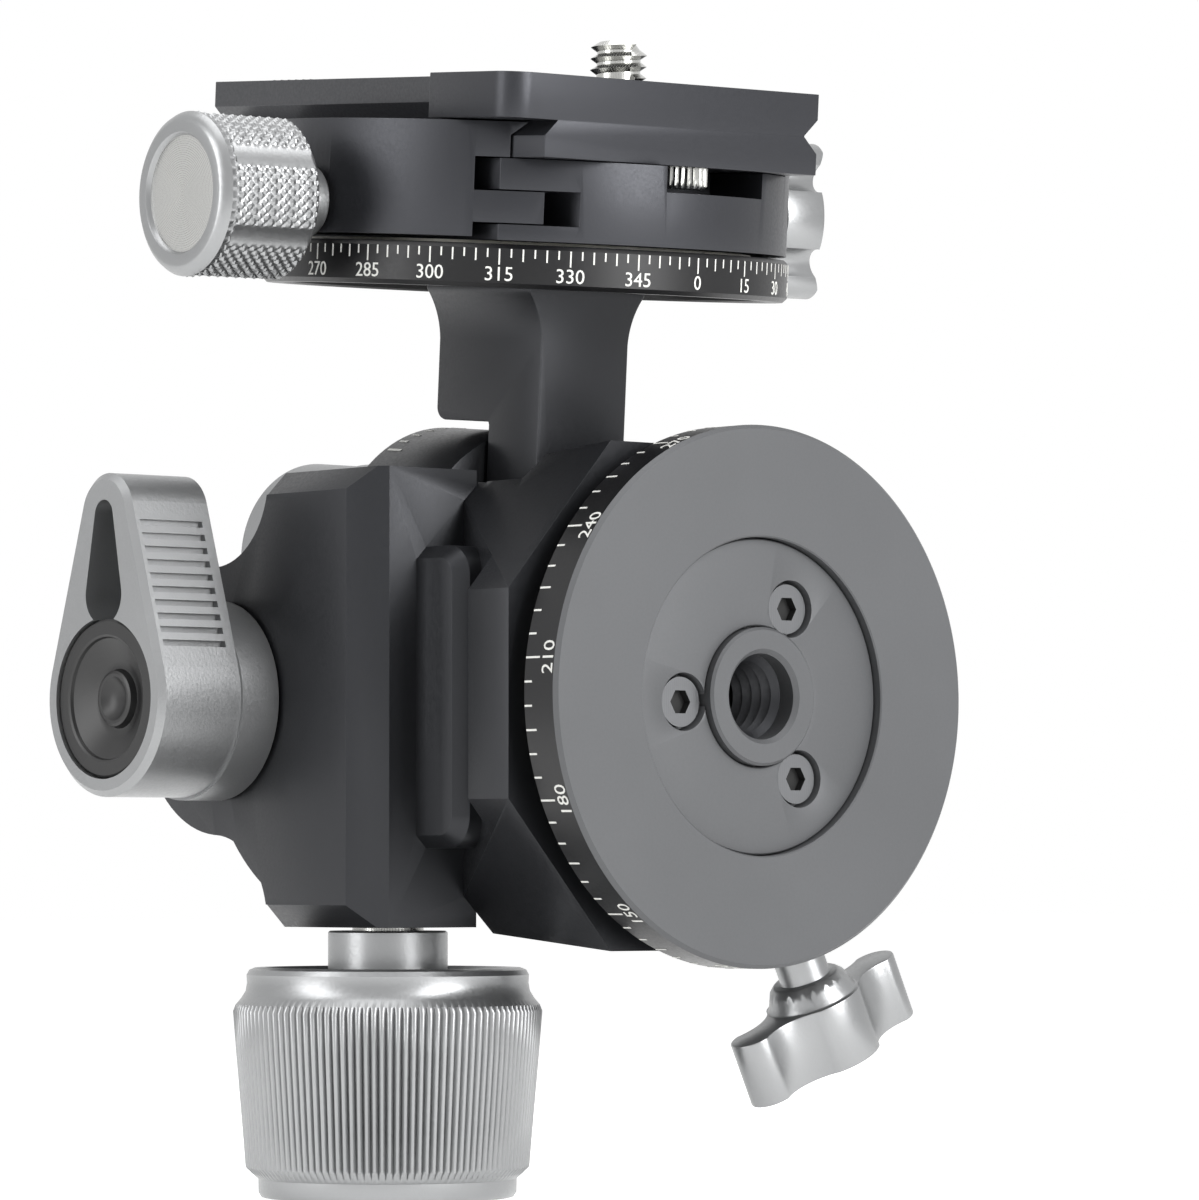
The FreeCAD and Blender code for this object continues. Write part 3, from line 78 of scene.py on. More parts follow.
# %% Camera
CAMERA_PLACE = Vector((500.8, -448.5, -18.9)) * MM
PITCH = 2.516
LENS = 183.0
camera_data = bpy.data.cameras.new("camera")
camera = bpy.data.objects.new("camera", camera_data)
bpy.context.scene.collection.objects.link(camera)
camera.location = CAMERA_PLACE
look = Vector((-0.7627, 0.6468, math.tan(math.radians(PITCH))))
camera.rotation_euler = look.to_track_quat("-Z", "Y").to_euler()
camera_data.lens = LENS
camera_data.sensor_width = 36.0
camera_data.clip_start = 0.01
camera_data.clip_end = 20.0
bpy.context.scene.camera = camera
bpy.context.scene.view_settings.view_transform = "Standard"
print("camera at", [round(v, 3) for v in camera.location])

# %% [markdown]
# A Blender colour is linear, and a hex value as painters know it is not. One function turns one into
# the other. A second adds a node to a material with its settings and links, so that each finish below
# reads as a short list.

# %% Material helpers
def linear(code):
    values = [int(code[i:i + 2], 16) / 255 for i in (1, 3, 5)]
    return [v / 12.92 if v <= 0.04045 else ((v + 0.055) / 1.055) ** 2.4 for v in values] + [1.0]


def add(tree, kind, values=(), links=(), **settings):
    node = tree.nodes.new("ShaderNode" + kind)
    for key, value in settings.items():
        setattr(node, key, value)
    for key, value in dict(values).items():
        node.inputs[key].default_value = value
    for key, source in dict(links).items():
        tree.links.new(source, node.inputs[key])
    return node


def new_material(name):
    material = bpy.data.materials.new(name)
    material.use_nodes = True
    material.node_tree.nodes.clear()
    return material, material.node_tree


# %% [markdown]
# Most of the head is machined aluminium, bead blasted and then anodised. Blasting leaves tiny even
# dimples, which scatter the light and make the metal look soft. Real dimples are about 0.1 mm, too
# fine to show, so they are drawn at 0.35 mm. Anodising adds a faint cloudiness over centimetres.

# %% Bead blasted, anodised aluminium
BLAST_MM = 0.35
DIMPLE_MM = 0.05
CLOUD_MM = 18.0


def blasted(name, colour, roughness, metallic, grain=0.12, cloud=0.10):
    material, tree = new_material(name)
    place = add(tree, "TexCoord")
    fine = add(tree, "TexNoise", {"Scale": 1 / (BLAST_MM * MM), "Detail": 2.0, "Roughness": 0.6},
               {"Vector": place.outputs["Object"]})
    clouds = add(tree, "TexNoise", {"Scale": 1 / (CLOUD_MM * MM), "Detail": 3.0},
                 {"Vector": place.outputs["Object"]})
    base = linear(colour)
    darker = [v * (1 - cloud) for v in base[:3]] + [1.0]
    lighter = [min(1.0, v * (1 + cloud)) for v in base[:3]] + [1.0]
    tint = add(tree, "Mix", links={"Factor": clouds.outputs["Fac"]}, data_type="RGBA")
    tint.inputs[6].default_value = darker
    tint.inputs[7].default_value = lighter
    sparkle = add(tree, "MapRange", {"From Min": 0.3, "From Max": 0.7, "To Min": roughness - 0.05,
                                     "To Max": roughness + 0.05}, {"Value": fine.outputs["Fac"]})
    bump = add(tree, "Bump", {"Strength": grain, "Distance": DIMPLE_MM * MM},
               {"Height": fine.outputs["Fac"]})
    shader = add(tree, "BsdfPrincipled", {"Metallic": metallic},
                 {"Base Color": tint.outputs[2], "Roughness": sparkle.outputs["Result"],
                  "Normal": bump.outputs["Normal"]})
    add(tree, "OutputMaterial", links={"Surface": shader.outputs["BSDF"]})
    return material


body_grey = blasted("anodised aluminium dark grey", "#28292c", 0.38, 0.6)
disc_grey = blasted("anodised aluminium mid grey", "#545557", 0.52, 0.4)
plate_grey = blasted("anodised aluminium plate grey", "#323337", 0.40, 0.6)
ring_black = blasted("anodised aluminium black", "#0e0e10", 0.36, 0.3, grain=0.05)
knob_silver = blasted("anodised aluminium silver", "#919293", 0.33, 0.85, grain=0.22)
lever_silver = blasted("anodised aluminium lever silver", "#8d8e8f", 0.40, 0.8, grain=0.40)
print("blasted finishes:", len(bpy.data.materials))

# %% [markdown]
# Steel screws and the camera screw are turned on a lathe: bright, with fine rings round their axis. The
# rings are a wave along the distance from the piece's own middle line, given by two Mapping nodes: one
# moves the pattern to that line, and one turns it. At scale one, a Wave texture repeats every 0.314.

# %% Turned metal
WAVE_UNIT = 0.314
GROOVE_MM = 0.03


def turned_metal(name, colour, roughness, pitch_mm, centre=(0, 0, 0), spin=(0, 0, 0)):
    material, tree = new_material(name)
    place = add(tree, "TexCoord")
    mapped = add(tree, "Mapping", {"Location": [-v * MM for v in centre]},
                 {"Vector": place.outputs["Object"]})
    turned = add(tree, "Mapping", {"Rotation": [math.radians(v) for v in spin]},
                 {"Vector": mapped.outputs["Vector"]})
    wave = add(tree, "TexWave",
               {"Scale": WAVE_UNIT / (pitch_mm * MM), "Distortion": 0.6, "Detail": 1.0},
               {"Vector": turned.outputs["Vector"]}, wave_type="RINGS", rings_direction="Z")
    rough = add(tree, "MapRange", {"To Min": roughness - 0.06, "To Max": roughness + 0.08},
                {"Value": wave.outputs["Fac"]})
    bump = add(tree, "Bump", {"Strength": 0.10, "Distance": GROOVE_MM * MM},
               {"Height": wave.outputs["Fac"]})
    shader = add(tree, "BsdfPrincipled", {"Metallic": 1.0, "Base Color": linear(colour)},
                 {"Roughness": rough.outputs["Result"], "Normal": bump.outputs["Normal"]})
    add(tree, "OutputMaterial", links={"Surface": shader.outputs["BSDF"]})
    return material


steel = turned_metal("turned stainless steel", "#b9b9b6", 0.24, 0.3)
bronze = turned_metal("sintered bronze", "#a67c45", 0.38, 0.4)
print("turned finishes:", steel.name, "and", bronze.name)

# %% [markdown]
# Plastic and rubber are moulded and take the fine grain of the steel mould. The paint in the engraved
# scales is brushed in and has a grain too. One noise gives both the uneven colour and the bump.

# %% Moulded plastic, rubber and paint
GRAIN_DEPTH_MM = 0.05


def moulded(name, colour, roughness, grain_mm, strength):
    material, tree = new_material(name)
    place = add(tree, "TexCoord")
    grain = add(tree, "TexNoise", {"Scale": 1 / (grain_mm * MM), "Detail": 3.0},
                {"Vector": place.outputs["Object"]})
    base = linear(colour)
    tint = add(tree, "Mix", links={"Factor": grain.outputs["Fac"]}, data_type="RGBA")
    tint.inputs[6].default_value = [v * 0.85 for v in base[:3]] + [1.0]
    tint.inputs[7].default_value = [min(1.0, v * 1.15) for v in base[:3]] + [1.0]
    bump = add(tree, "Bump", {"Strength": strength, "Distance": GRAIN_DEPTH_MM * MM},
               {"Height": grain.outputs["Fac"]})
    shader = add(tree, "BsdfPrincipled", {"Roughness": roughness, "IOR": 1.5},
                 {"Base Color": tint.outputs[2], "Normal": bump.outputs["Normal"]})
    add(tree, "OutputMaterial", links={"Surface": shader.outputs["BSDF"]})
    return material


cap_black = moulded("moulded black plastic", "#060607", 0.42, 0.4, 0.06)
slip_white = moulded("acetal slip ring", "#dedbd0", 0.42, 0.5, 0.05)
rubber_black = moulded("moulded rubber", "#17171a", 0.75, 0.6, 0.25)
mark_white = moulded("white engraving paint", "#dcdcd8", 0.55, 0.3, 0.10)
print("materials so far:", len(bpy.data.materials))

# %% [markdown]
# An operator acts on all that is selected, and the CAD nodes arrive selected. So each step first drops
# every selection and picks its own piece. Three small helpers do that: one picks a piece, one opens it
# in edit mode, and one puts a modifier on it and applies it, as by hand.

# %% Select, edit and modify
def pick(piece):
    """Leave edit mode if it is on, and select this piece alone."""
    if bpy.context.object and bpy.context.object.mode != "OBJECT":
        bpy.ops.object.mode_set(mode="OBJECT")
    bpy.ops.object.select_all(action="DESELECT")
    piece.select_set(True)
    bpy.context.view_layer.objects.active = piece


def edit(piece):
    """Open this piece alone in edit mode with its whole mesh selected."""
    pick(piece)
    bpy.ops.object.mode_set(mode="EDIT")
    bpy.ops.mesh.select_all(action="SELECT")


def apply(piece, kind, **settings):
    """Put one modifier on a piece and apply it at once."""
    pick(piece)
    modifier = piece.modifiers.new(kind.lower(), kind)
    for key, value in settings.items():
        setattr(modifier, key, value)
    bpy.ops.object.modifier_apply(modifier=modifier.name)


# %% [markdown]
# Real machined parts have no knife edges: a cutter or a file breaks each corner by a few tenths, and
# that narrow band catches the light. So a piece ends with a bevel on every corner sharper than 30
# degrees. It is then shaded smooth between such corners, gets its finish, and is handed to the body
# that it moves with. A CAD node arrives as loose triangles, so a copy of one is first merged and its
# flat faces are joined again, because a bevel needs whole faces.

# %% Finish a piece
SHARP = math.radians(30)
MERGE_MM = 0.002
FLAT = math.radians(0.6)


def dress(piece, body, material, nodes=(), bevel=0.0):
    """Soften the corners, shade, paint, and hand the piece to its body."""
    if bevel:
        apply(piece, "BEVEL", width=bevel * MM, segments=2, limit_method="ANGLE",
              angle_limit=SHARP, use_clamp_overlap=True, miter_outer="MITER_ARC")
    piece.data.update()
    pick(piece)
    bpy.ops.object.shade_smooth_by_angle(angle=SHARP)
    piece.data.materials.clear()
    piece.data.materials.append(material)
    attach(piece, body)
    if nodes:
        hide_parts(*nodes)
    return piece


def softened(node, body, material, bevel):
    """A merged copy of a CAD node with its corners broken."""
    piece = bpy.data.objects.new(node + "_finish", frame["nodes"][node].data.copy())
    bpy.context.scene.collection.objects.link(piece)
    edit(piece)
    bpy.ops.mesh.remove_doubles(threshold=MERGE_MM * MM)
    bpy.ops.mesh.dissolve_limited(angle_limit=FLAT)
    return dress(piece, body, material, [node], bevel)


# %% [markdown]
# Knobs, discs, caps and screws are turned on a lathe. Blender's Spin does the same: half of the
# section is drawn as a line and spun once round the axis. A cylinder that is extruded and inset step by
# step would give the same form, but the section is easier to read and to check against a drawing.

# %% Turn a piece from its half section
SEAM_MM = 0.001


def new_piece(name, vertices, edges):
    mesh = bpy.data.meshes.new(name)
    mesh.from_pydata([Vector(v) * MM for v in vertices], edges, [])
    piece = bpy.data.objects.new(name, mesh)
    bpy.context.scene.collection.objects.link(piece)
    return piece


def lathe(name, profile, base, axis, side, steps=128):
    """Spin (distance along the axis, radius) pairs, in mm, about a line through base."""
    base = Vector(base)
    points = [base + axis * along + side * radius for along, radius in profile]
    piece = new_piece(name, points, [(i, i + 1) for i in range(len(points) - 1)])
    edit(piece)
    bpy.ops.mesh.spin(steps=steps, angle=2 * math.pi, center=base * MM, axis=axis)
    bpy.ops.mesh.select_all(action="SELECT")
    bpy.ops.mesh.remove_doubles(threshold=SEAM_MM * MM)
    bpy.ops.mesh.normals_make_consistent(inside=False)
    pick(piece)
    return piece


def place(piece, matrix):
    """Move the mesh itself, so that the object stays at the origin."""
    piece.data.transform(matrix)
    piece.data.update()
    return piece


# %% [markdown]
# The housing, the arm, the rotor, the clamp and the plate keep the shape of the drawing. Copies of
# them get broken corners: larger on the housing, whose edges are filed, and small on the clamp.

# %% Housing, rotor, arm, clamp and plate
SOFT = [
    ("main_body", body_grey, 0.35),
    ("tilt_rotor", body_grey, 0.3),
    ("arm", body_grey, 0.4),
    ("clamp_body", plate_grey, 0.2),
    ("clamp_jaw", plate_grey, 0.2),
    ("camera_plate", plate_grey, 0.35),
]
node_body = {n: b for b, members in frame["record"]["behaviour"]["bodies"].items() for n in members}
for node, material, width in SOFT:
    piece = softened(node, node_body[node], material, width)
    print(piece.name, "faces", len(piece.data.polygons))

# %% [markdown]
# Both wing knobs are blasted and silver anodised, with round corners, because a hand turns them. A
# Bevel modifier on the drawing's own shape gives that. The two levers have the same finish, but their
# ridged flanks have no room for a bevel, so their nodes stay as drawn and are only painted below.

# %% Wing knobs
for node in ("pan_lock_knob", "clamp_lock_knob"):
    softened(node, node_body[node], knob_silver, 0.5)
print("wing knobs: 2")

# %% [markdown]
# The base disc is a turned plate, so it is spun from its half section: a narrow chamfer, a flat face
# and a shallow recess for the retaining plate. Its face is a lighter grey than its graduated edge, so
# the faces that lie on the edge get the black finish.

# %% Base disc
BASE_R, BASE_T, BASE_EDGE = 30.0, 5.4, 0.45
RECESS_R, RECESS_BACK, BORE_R = 17.6, -3.4, 12.95
BROKEN, REAR_EDGE = 0.15, 0.2
disc = lathe("base_disc",
             [(-BASE_T, BORE_R), (-BASE_T, BASE_R - REAR_EDGE), (-BASE_T + REAR_EDGE, BASE_R),
              (-BASE_EDGE, BASE_R), (0, BASE_R - BASE_EDGE), (0, RECESS_R + BROKEN),
              (-BROKEN, RECESS_R), (RECESS_BACK, RECESS_R), (RECESS_BACK, BORE_R), (-BASE_T, BORE_R)],
             (0, 0, 0), AXIS["X"], AXIS["Y"], 256)
dress(disc, "base", disc_grey, ["base_plate"])
disc.data.materials.append(ring_black)
for face in disc.data.polygons:
    if face.center.yz.length > (BASE_R - 0.05) * MM and abs(face.normal.x) < 0.1:
        face.material_index = 1
print("disc faces", len(disc.data.polygons))

# %% [markdown]
# A round plate fills the recess and holds the disc to its spindle. It lies a millimetre deep and has a
# counterbore for each of its three screws. Each counterbore is a cylinder taken away by a Boolean, as a
# drill would do it. Insetting and extruding the face would leave long thin faces round the hole.

# %% Retaining plate
PLATE_FACE, BOSS_ROOM_R = -1.0, 7.8
rim = RECESS_R - BROKEN
plate = lathe("base_retainer_face",
              [(RECESS_BACK, BOSS_ROOM_R), (PLATE_FACE - BROKEN, BOSS_ROOM_R),
               (PLATE_FACE, BOSS_ROOM_R + BROKEN), (PLATE_FACE, 9.0), (PLATE_FACE, rim - BROKEN),
               (PLATE_FACE - BROKEN, rim), (RECESS_BACK, rim), (RECESS_BACK, BOSS_ROOM_R)],
              (0, 0, 0), AXIS["X"], AXIS["Y"], 192)
SCREW_CIRCLE, SCREW_TURN, SCREW_COUNT = 10.9, 64.0, 3
COUNTERBORE_R, COUNTERBORE_LONG, COUNTERBORE_X = 3.2, 2.4, -2.1
screw_centres = []
for k in range(SCREW_COUNT):
    angle = math.radians(SCREW_TURN + 360 / SCREW_COUNT * k)
    screw_centres.append(Vector((0, math.cos(angle), math.sin(angle))) * SCREW_CIRCLE * MM)
for centre in screw_centres:
    pick(plate)
    bpy.ops.object.select_all(action="DESELECT")
    bpy.ops.mesh.primitive_cylinder_add(vertices=64, radius=COUNTERBORE_R * MM,
                                        depth=COUNTERBORE_LONG * MM,
                                        location=centre + AXIS["X"] * COUNTERBORE_X * MM,
                                        rotation=(0, math.pi / 2, 0))
    cutter = bpy.context.object
    apply(plate, "BOOLEAN", object=cutter, operation="DIFFERENCE", solver="EXACT")
    bpy.data.objects.remove(cutter)
dress(plate, "base", disc_grey, ["base_retainer"], bevel=0.12)
print("retaining plate faces", len(plate.data.polygons))

# %% [markdown]
# A screw thread is a small triangle wound along a helix. The Screw modifier winds it about the Z axis.
# Stacked rings would be simpler, but a cut through them shows level grooves and no lead. The tripod
# thread is 3/8 inch with 16 turns to the inch, inside its bush, and the camera screw is 1/4 inch with
# 20 turns to the inch.

# %% Threads
CREST_AT, FOOT_AT = 0.44, 0.88
WELD_MM = 0.0005


def wound_ridge(name, inner, outer, pitch, length, steps):
    """A closed triangular ridge from z = 0 up to length, its crest at outer."""
    turns = int((length - pitch) / pitch)
    triangle = [(inner, 0, 0), (outer, 0, pitch * CREST_AT), (inner, 0, pitch * FOOT_AT)]
    piece = new_piece(name, triangle, [(0, 1), (1, 2), (2, 0)])
    apply(piece, "SCREW", angle=2 * math.pi, screw_offset=pitch * MM, iterations=turns,
          steps=steps, render_steps=steps, axis="Z", use_merge_vertices=False)
    edit(piece)
    bpy.ops.mesh.remove_doubles(threshold=WELD_MM * MM)
    bpy.ops.mesh.select_all(action="DESELECT")
    bpy.ops.mesh.select_non_manifold()
    bpy.ops.mesh.fill_holes(sides=3)
    bpy.ops.mesh.select_all(action="SELECT")
    bpy.ops.mesh.normals_make_consistent(inside=False)
    pick(piece)
    return piece


TRIPOD_R, TRIPOD_PITCH, THREAD_LENGTH = 4.7625, 1.5875, 11.0
LEAD_IN, BUSH_R, BUSH_EDGE = 0.5, 7.65, 0.3
bush = lathe("tripod_bush",
             [(-THREAD_LENGTH, TRIPOD_R), (-LEAD_IN, TRIPOD_R), (0, TRIPOD_R + LEAD_IN),
              (0, BUSH_R - BUSH_EDGE), (-BUSH_EDGE, BUSH_R), (-THREAD_LENGTH, BUSH_R),
              (-THREAD_LENGTH, TRIPOD_R)],
             (0, 0, 0), AXIS["X"], AXIS["Y"], 96)
dress(bush, "base", disc_grey, ["thread_bush"])
ROOT_SINK, CREST, THREAD_START = 0.05, 0.78, 0.2
thread = wound_ridge("tripod_thread", TRIPOD_R + ROOT_SINK, TRIPOD_R - CREST, TRIPOD_PITCH,
                     THREAD_LENGTH - LEAD_IN, 72)
place(thread, Matrix.Translation(Vector((THREAD_START - THREAD_LENGTH, 0, 0)) * MM)
      @ Matrix.Rotation(math.pi / 2, 4, "Y"))
dress(thread, "base", body_grey)
print("tripod thread turns", round((THREAD_LENGTH - TRIPOD_PITCH) / TRIPOD_PITCH, 1))

# %% [markdown]
# The retaining screws are small hexagon socket screws of blackened steel. Their node already has the
# sockets, and the faces inside them get a near-black material: painted shade for the deep sockets.

# %% Retaining screws
screw_grey = turned_metal("blackened steel", "#6f7072", 0.36, 0.3)
# A near-black material that paints the shade inside the screw sockets.
socket_painted_shade = moulded("painted shade in screw socket", "#060606", 0.7, 0.3, 0.1)
screws = softened("base_screws", "base", screw_grey, 0)
screws.data.materials.append(socket_painted_shade)
head_face = max(vertex.co.x for vertex in screws.data.vertices)
SOCKET_R, SOCKET_DEPTH, HEAD_SKIN = 1.5, 1.2, 0.03
dark = 0
for face in screws.data.polygons:
    depth = head_face - face.center.x
    away = min((face.center.yz - centre.yz).length for centre in screw_centres)
    # Faces deep inside a socket take the near-black material: painted shade.
    if away < SOCKET_R * MM and HEAD_SKIN * MM < depth < SOCKET_DEPTH * MM:
        face.material_index = 1
        dark += 1
print("faces inside the sockets", dark)

# %% [markdown]
# The two levers and the small steel, bronze and plastic parts inside keep their CAD shape, because a
# copy would add nothing that shows. A CAD node takes a finish in its own material slots.

# %% Finishes on the CAD nodes that stay
STAY = {
    "tilt_lever": lever_silver, "roll_lever": lever_silver, "pan_spindle": steel, "worm": steel,
    "pan_slip_ring": slip_white, "spindle_cap": ring_black, "worm_bush_upper": bronze,
    "worm_bearing_lower": bronze, "worm_wheel": bronze,
    "ribbed_knob_cap": knob_silver, "ribbed_knob_screw": steel, "tilt_lever_nut": steel,
    "tilt_shaft": steel, "tilt_spacer": slip_white, "roll_shaft": steel, "roll_washer": slip_white,
    "roll_lever_nut": steel, "pan_hub": body_grey, "clamp_slip_ring": slip_white, "clamp_screw": steel,
    "pan_lock_screw": steel, "pan_lock_shoe": bronze, "clamp_lock_screw": steel,
}
for node, material in STAY.items():
    keeper = frame["nodes"][node]
    keeper.data.materials.clear()
    keeper.data.materials.append(material)
print("CAD nodes kept:", len(STAY))

# %% [markdown]
# The worm knob is the large ribbed wheel under the housing. About 120 straight ribs run down its
# tapered grip. A cutter for one valley, copied 120 times, would need as many Booleans. Instead the body
# is spun from its half section in steps of half a degree, and each vertex of the grip is then pulled in
# by a rounded wave, so that every rib has a crest and a valley.

# %% Ribbed knob
WORM_X, WORM_Y = -35.9, -24.4
RIBS, RIB_DEPTH, STEPS_PER_RIB = 120, 0.5, 6
VALLEY_SHAPE = 1.3
SMOOTH_R = 15.5
GRIP_TOP, GRIP_LOW = -34.6, -52.5
grip = [(GRIP_TOP - 0.25, 17.3), (GRIP_TOP - 4.6, 16.95), (GRIP_TOP - 9.0, 16.57),
        (GRIP_LOW + 4.6, 16.2), (GRIP_LOW + 0.3, 15.85)]
knob = lathe("ribbed_knob_finish",
             [(-32.2, 4.05), (-25.9, 4.05), (-25.9, 6.5), (-26.1, 6.7), (-32.2, 6.7), (-32.2, 12.6),
              (-30.3, 13.4), (-30.0, 13.8), (-30.0, 14.9), (-30.25, 15.5), (-30.8, 15.8),
              (-31.7, 15.75), (-32.6, 15.9), (-33.4, 16.4), (-34.1, 17.0)] + grip +
             [(-53.0, 15.0), (-53.5, 14.45), (-55.0, 14.4), (-55.5, 14.1), (-55.6, 13.6),
              (-55.6, 11.65), (-51.0, 11.65), (-51.0, 4.05), (-32.2, 4.05)],
             (WORM_X, WORM_Y, 0), AXIS["Z"], AXIS["X"], RIBS * STEPS_PER_RIB)
for vertex in knob.data.vertices:
    x, y, z = (vertex.co / MM) - Vector((WORM_X, WORM_Y, 0))
    radius = math.hypot(x, y)
    if radius > SMOOTH_R and GRIP_LOW + 0.1 < z < GRIP_TOP + 0.05:
        wave = abs(math.sin(math.atan2(y, x) * RIBS / 2))
        pull = RIB_DEPTH * (1 - wave) ** VALLEY_SHAPE
        vertex.co.x -= pull * MM * x / radius
        vertex.co.y -= pull * MM * y / radius
dress(knob, "fine_tilt_drive", knob_silver, ["ribbed_knob"])
print("ribbed knob triangles", 2 * len(knob.data.polygons))

# %% [markdown]
# Each lever is closed by a black moulded cap over its nut: a wide funnel with a ring and a dimple in
# the middle. A cap is round, so it is spun, from the lever's outer face inwards. The second cap is the
# same, on the roll axis behind the head.

# %% Lever caps
CAP_PROFILE = [(3.4, 0), (3.4, 8.6), (0.5, 8.85), (0.3, 8.6), (0.3, 7.15), (0.45, 6.9), (0.8, 6.75),
               (2.1, 4.3), (2.3, 3.7), (2.25, 3.35), (1.55, 3.1), (1.4, 2.8), (1.45, 2.45), (2.1, 1.7),
               (2.45, 0.9), (2.5, 0)]
LEVER_FACE_Y, BOSS_FACE_Y, ROLL_HUB_X = -51.0, -34.7, -61.1
cap = lathe("tilt_lever_cap_finish", CAP_PROFILE, (TILT_X, LEVER_FACE_Y, 0), AXIS["Y"], AXIS["X"], 96)
dress(cap, node_body["tilt_lever_cap"], cap_black, ["tilt_lever_cap"])
ROLL_CAP_X = ROLL_HUB_X + LEVER_FACE_Y - BOSS_FACE_Y
cap = lathe("roll_lever_cap_finish", CAP_PROFILE, (ROLL_CAP_X, ROLL_Y, ROLL_Z),
            AXIS["X"], AXIS["Y"], 96)
place(cap, TILT_REST)
dress(cap, node_body["roll_lever_cap"], cap_black, ["roll_lever_cap"])

# %% [markdown]
# The clamp knob is diamond knurled: two sets of slanting grooves cross, and each diamond between them
# is a small pyramid. Six smooth flutes are milled over it. The end is turned in fine rings and a
# little dished. A bump in the material would leave the outline smooth, so the knurl is real: the grip
# is a fine grid, and each vertex is moved by the two patterns and the flutes.

# %% Clamp knob
PANEL_R, KNOB_Z, NECK_LENGTH, KNOB_LENGTH = 29.7, 57.2, 4.5, 13.0
KNOB_R, DIAMONDS, KNURL_D = 9.2, 48, 0.34
FLUTES, FLUTE_TURN, FLUTE_R, FLUTE_OUT = 6, 30, 5.0, 13.7
flute_step = 2 * math.pi / FLUTES
knob_base = Vector((PAN_X, PAN_Y - PANEL_R - 0.4, KNOB_Z))
seat, end = NECK_LENGTH, NECK_LENGTH + KNOB_LENGTH
ROW, KNURL_START, KNURL_SHORT = 0.16, 0.6, 2.2
rows = [seat + KNURL_START + ROW * i for i in range(int((KNOB_LENGTH - KNURL_SHORT) / ROW) + 1)]
profile = [(0, 2.55), (0, 3.7), (0.3, 4.0), (seat, 4.0), (seat, KNOB_R - 1.2),
           (seat + 0.2, KNOB_R - 0.7)]
profile += [(row, KNOB_R) for row in rows]
profile += [(end - 1.1, KNOB_R - 0.12), (end - 0.5, KNOB_R - 0.5), (end - 0.1, KNOB_R - 1.05),
            (end, KNOB_R - 1.3), (end, 6.75), (end - 0.12, 6.6), (end - 0.5, 6.4), (end - 0.3, 4.0),
            (end - 0.42, 1.5), (end - 0.5, 0)]
clamp_knob = lathe("clamp_knob_finish", profile, knob_base, -AXIS["Y"], AXIS["X"], 336)
for vertex in clamp_knob.data.vertices:
    x, y, z = vertex.co / MM - knob_base
    radius, along = math.hypot(x, z), -y
    if radius > KNOB_R - 0.02 and seat + 0.5 < along < end - 1.2:
        angle = math.atan2(z, x)
        turn, run = angle * DIAMONDS / (2 * math.pi), along * DIAMONDS / (2 * math.pi * KNOB_R)
        one = abs((turn + run) % 1.0 - 0.5) * 2
        two = abs((turn - run) % 1.0 - 0.5) * 2
        wanted = KNOB_R - KNURL_D * max(one, two)
        away = (angle - math.radians(FLUTE_TURN) + flute_step / 2) % flute_step - flute_step / 2
        reach = FLUTE_R ** 2 - (FLUTE_OUT * math.sin(away)) ** 2
        if reach > 0 and along < end - 2.0:
            wanted = min(wanted, FLUTE_OUT * math.cos(away) - math.sqrt(reach))
        vertex.co.x += (wanted - radius) * MM * x / radius
        vertex.co.z += (wanted - radius) * MM * z / radius
place(clamp_knob, CLAMP_REST)
dress(clamp_knob, node_body["clamp_knob"], knob_silver, ["clamp_knob"])
end_centre = CLAMP_REST @ ((knob_base - AXIS["Y"] * end) * MM)
spun = turned_metal("spun aluminium face", "#b4b4b2", 0.27, 0.25,
                    [v / MM for v in end_centre], (90, 0, 3))
FACE_R = 6.7
clamp_knob.data.materials.append(spun)
facing = CLAMP_REST.to_3x3() @ -AXIS["Y"]
for face in clamp_knob.data.polygons:
    if face.normal.dot(facing) > 0.9 and (face.center - end_centre).length < FACE_R * MM:
        face.material_index = 1
print("clamp knob triangles", 2 * len(clamp_knob.data.polygons))

# %% [markdown]
# The pan ring is a turned disc under the clamp with a chamfered edge and a hollow underside, which
# shows as a rim from below. It is spun from its half section in fine steps, because the scale on it has
# to lie close to a true cylinder. Its finish is black, so that the white scale stands out.

# %% Pan ring
RING_R, RING_LOW, RING_TOP, HOLLOW_R = 30.0, 48.3, 53.1, 27.4
HOLLOW_TOP, ARM_BOSS_R = RING_LOW + 2.0, 7.15
RING_EDGE, HOLLOW_EDGE = 0.5, 0.2
ring = lathe("pan_ring_finish",
             [(RING_TOP, ARM_BOSS_R), (RING_TOP, RING_R - RING_EDGE), (RING_TOP - RING_EDGE, RING_R),
              (RING_LOW + RING_EDGE, RING_R), (RING_LOW, RING_R - RING_EDGE),
              (RING_LOW, HOLLOW_R + HOLLOW_EDGE), (RING_LOW + HOLLOW_EDGE, HOLLOW_R),
              (HOLLOW_TOP, HOLLOW_R), (HOLLOW_TOP, ARM_BOSS_R), (RING_TOP, ARM_BOSS_R)],
             (PAN_X, PAN_Y, 0), AXIS["Z"], AXIS["X"], 256)
place(ring, ROLL_REST)
dress(ring, node_body["pan_ring"], ring_black, ["pan_ring"])
print("ring from", RING_LOW, "to", RING_TOP)

# %% [markdown]
# The scales are engraved and filled with white paint. A scale is easiest to draw flat, as on paper:
# each line and figure is a thin solid with its width along the paper and its height up it. The paper
# is then wrapped round its cylinder, by turning every point's distance along it into an angle.

# %% Scale helpers
PAINT = 0.04
CAPITAL_HEIGHT = 0.70


def flat_bar(middle, low, high, width):
    left, right = middle - width / 2, middle + width / 2
    return [(left, low), (right, low), (right, high), (left, high)]


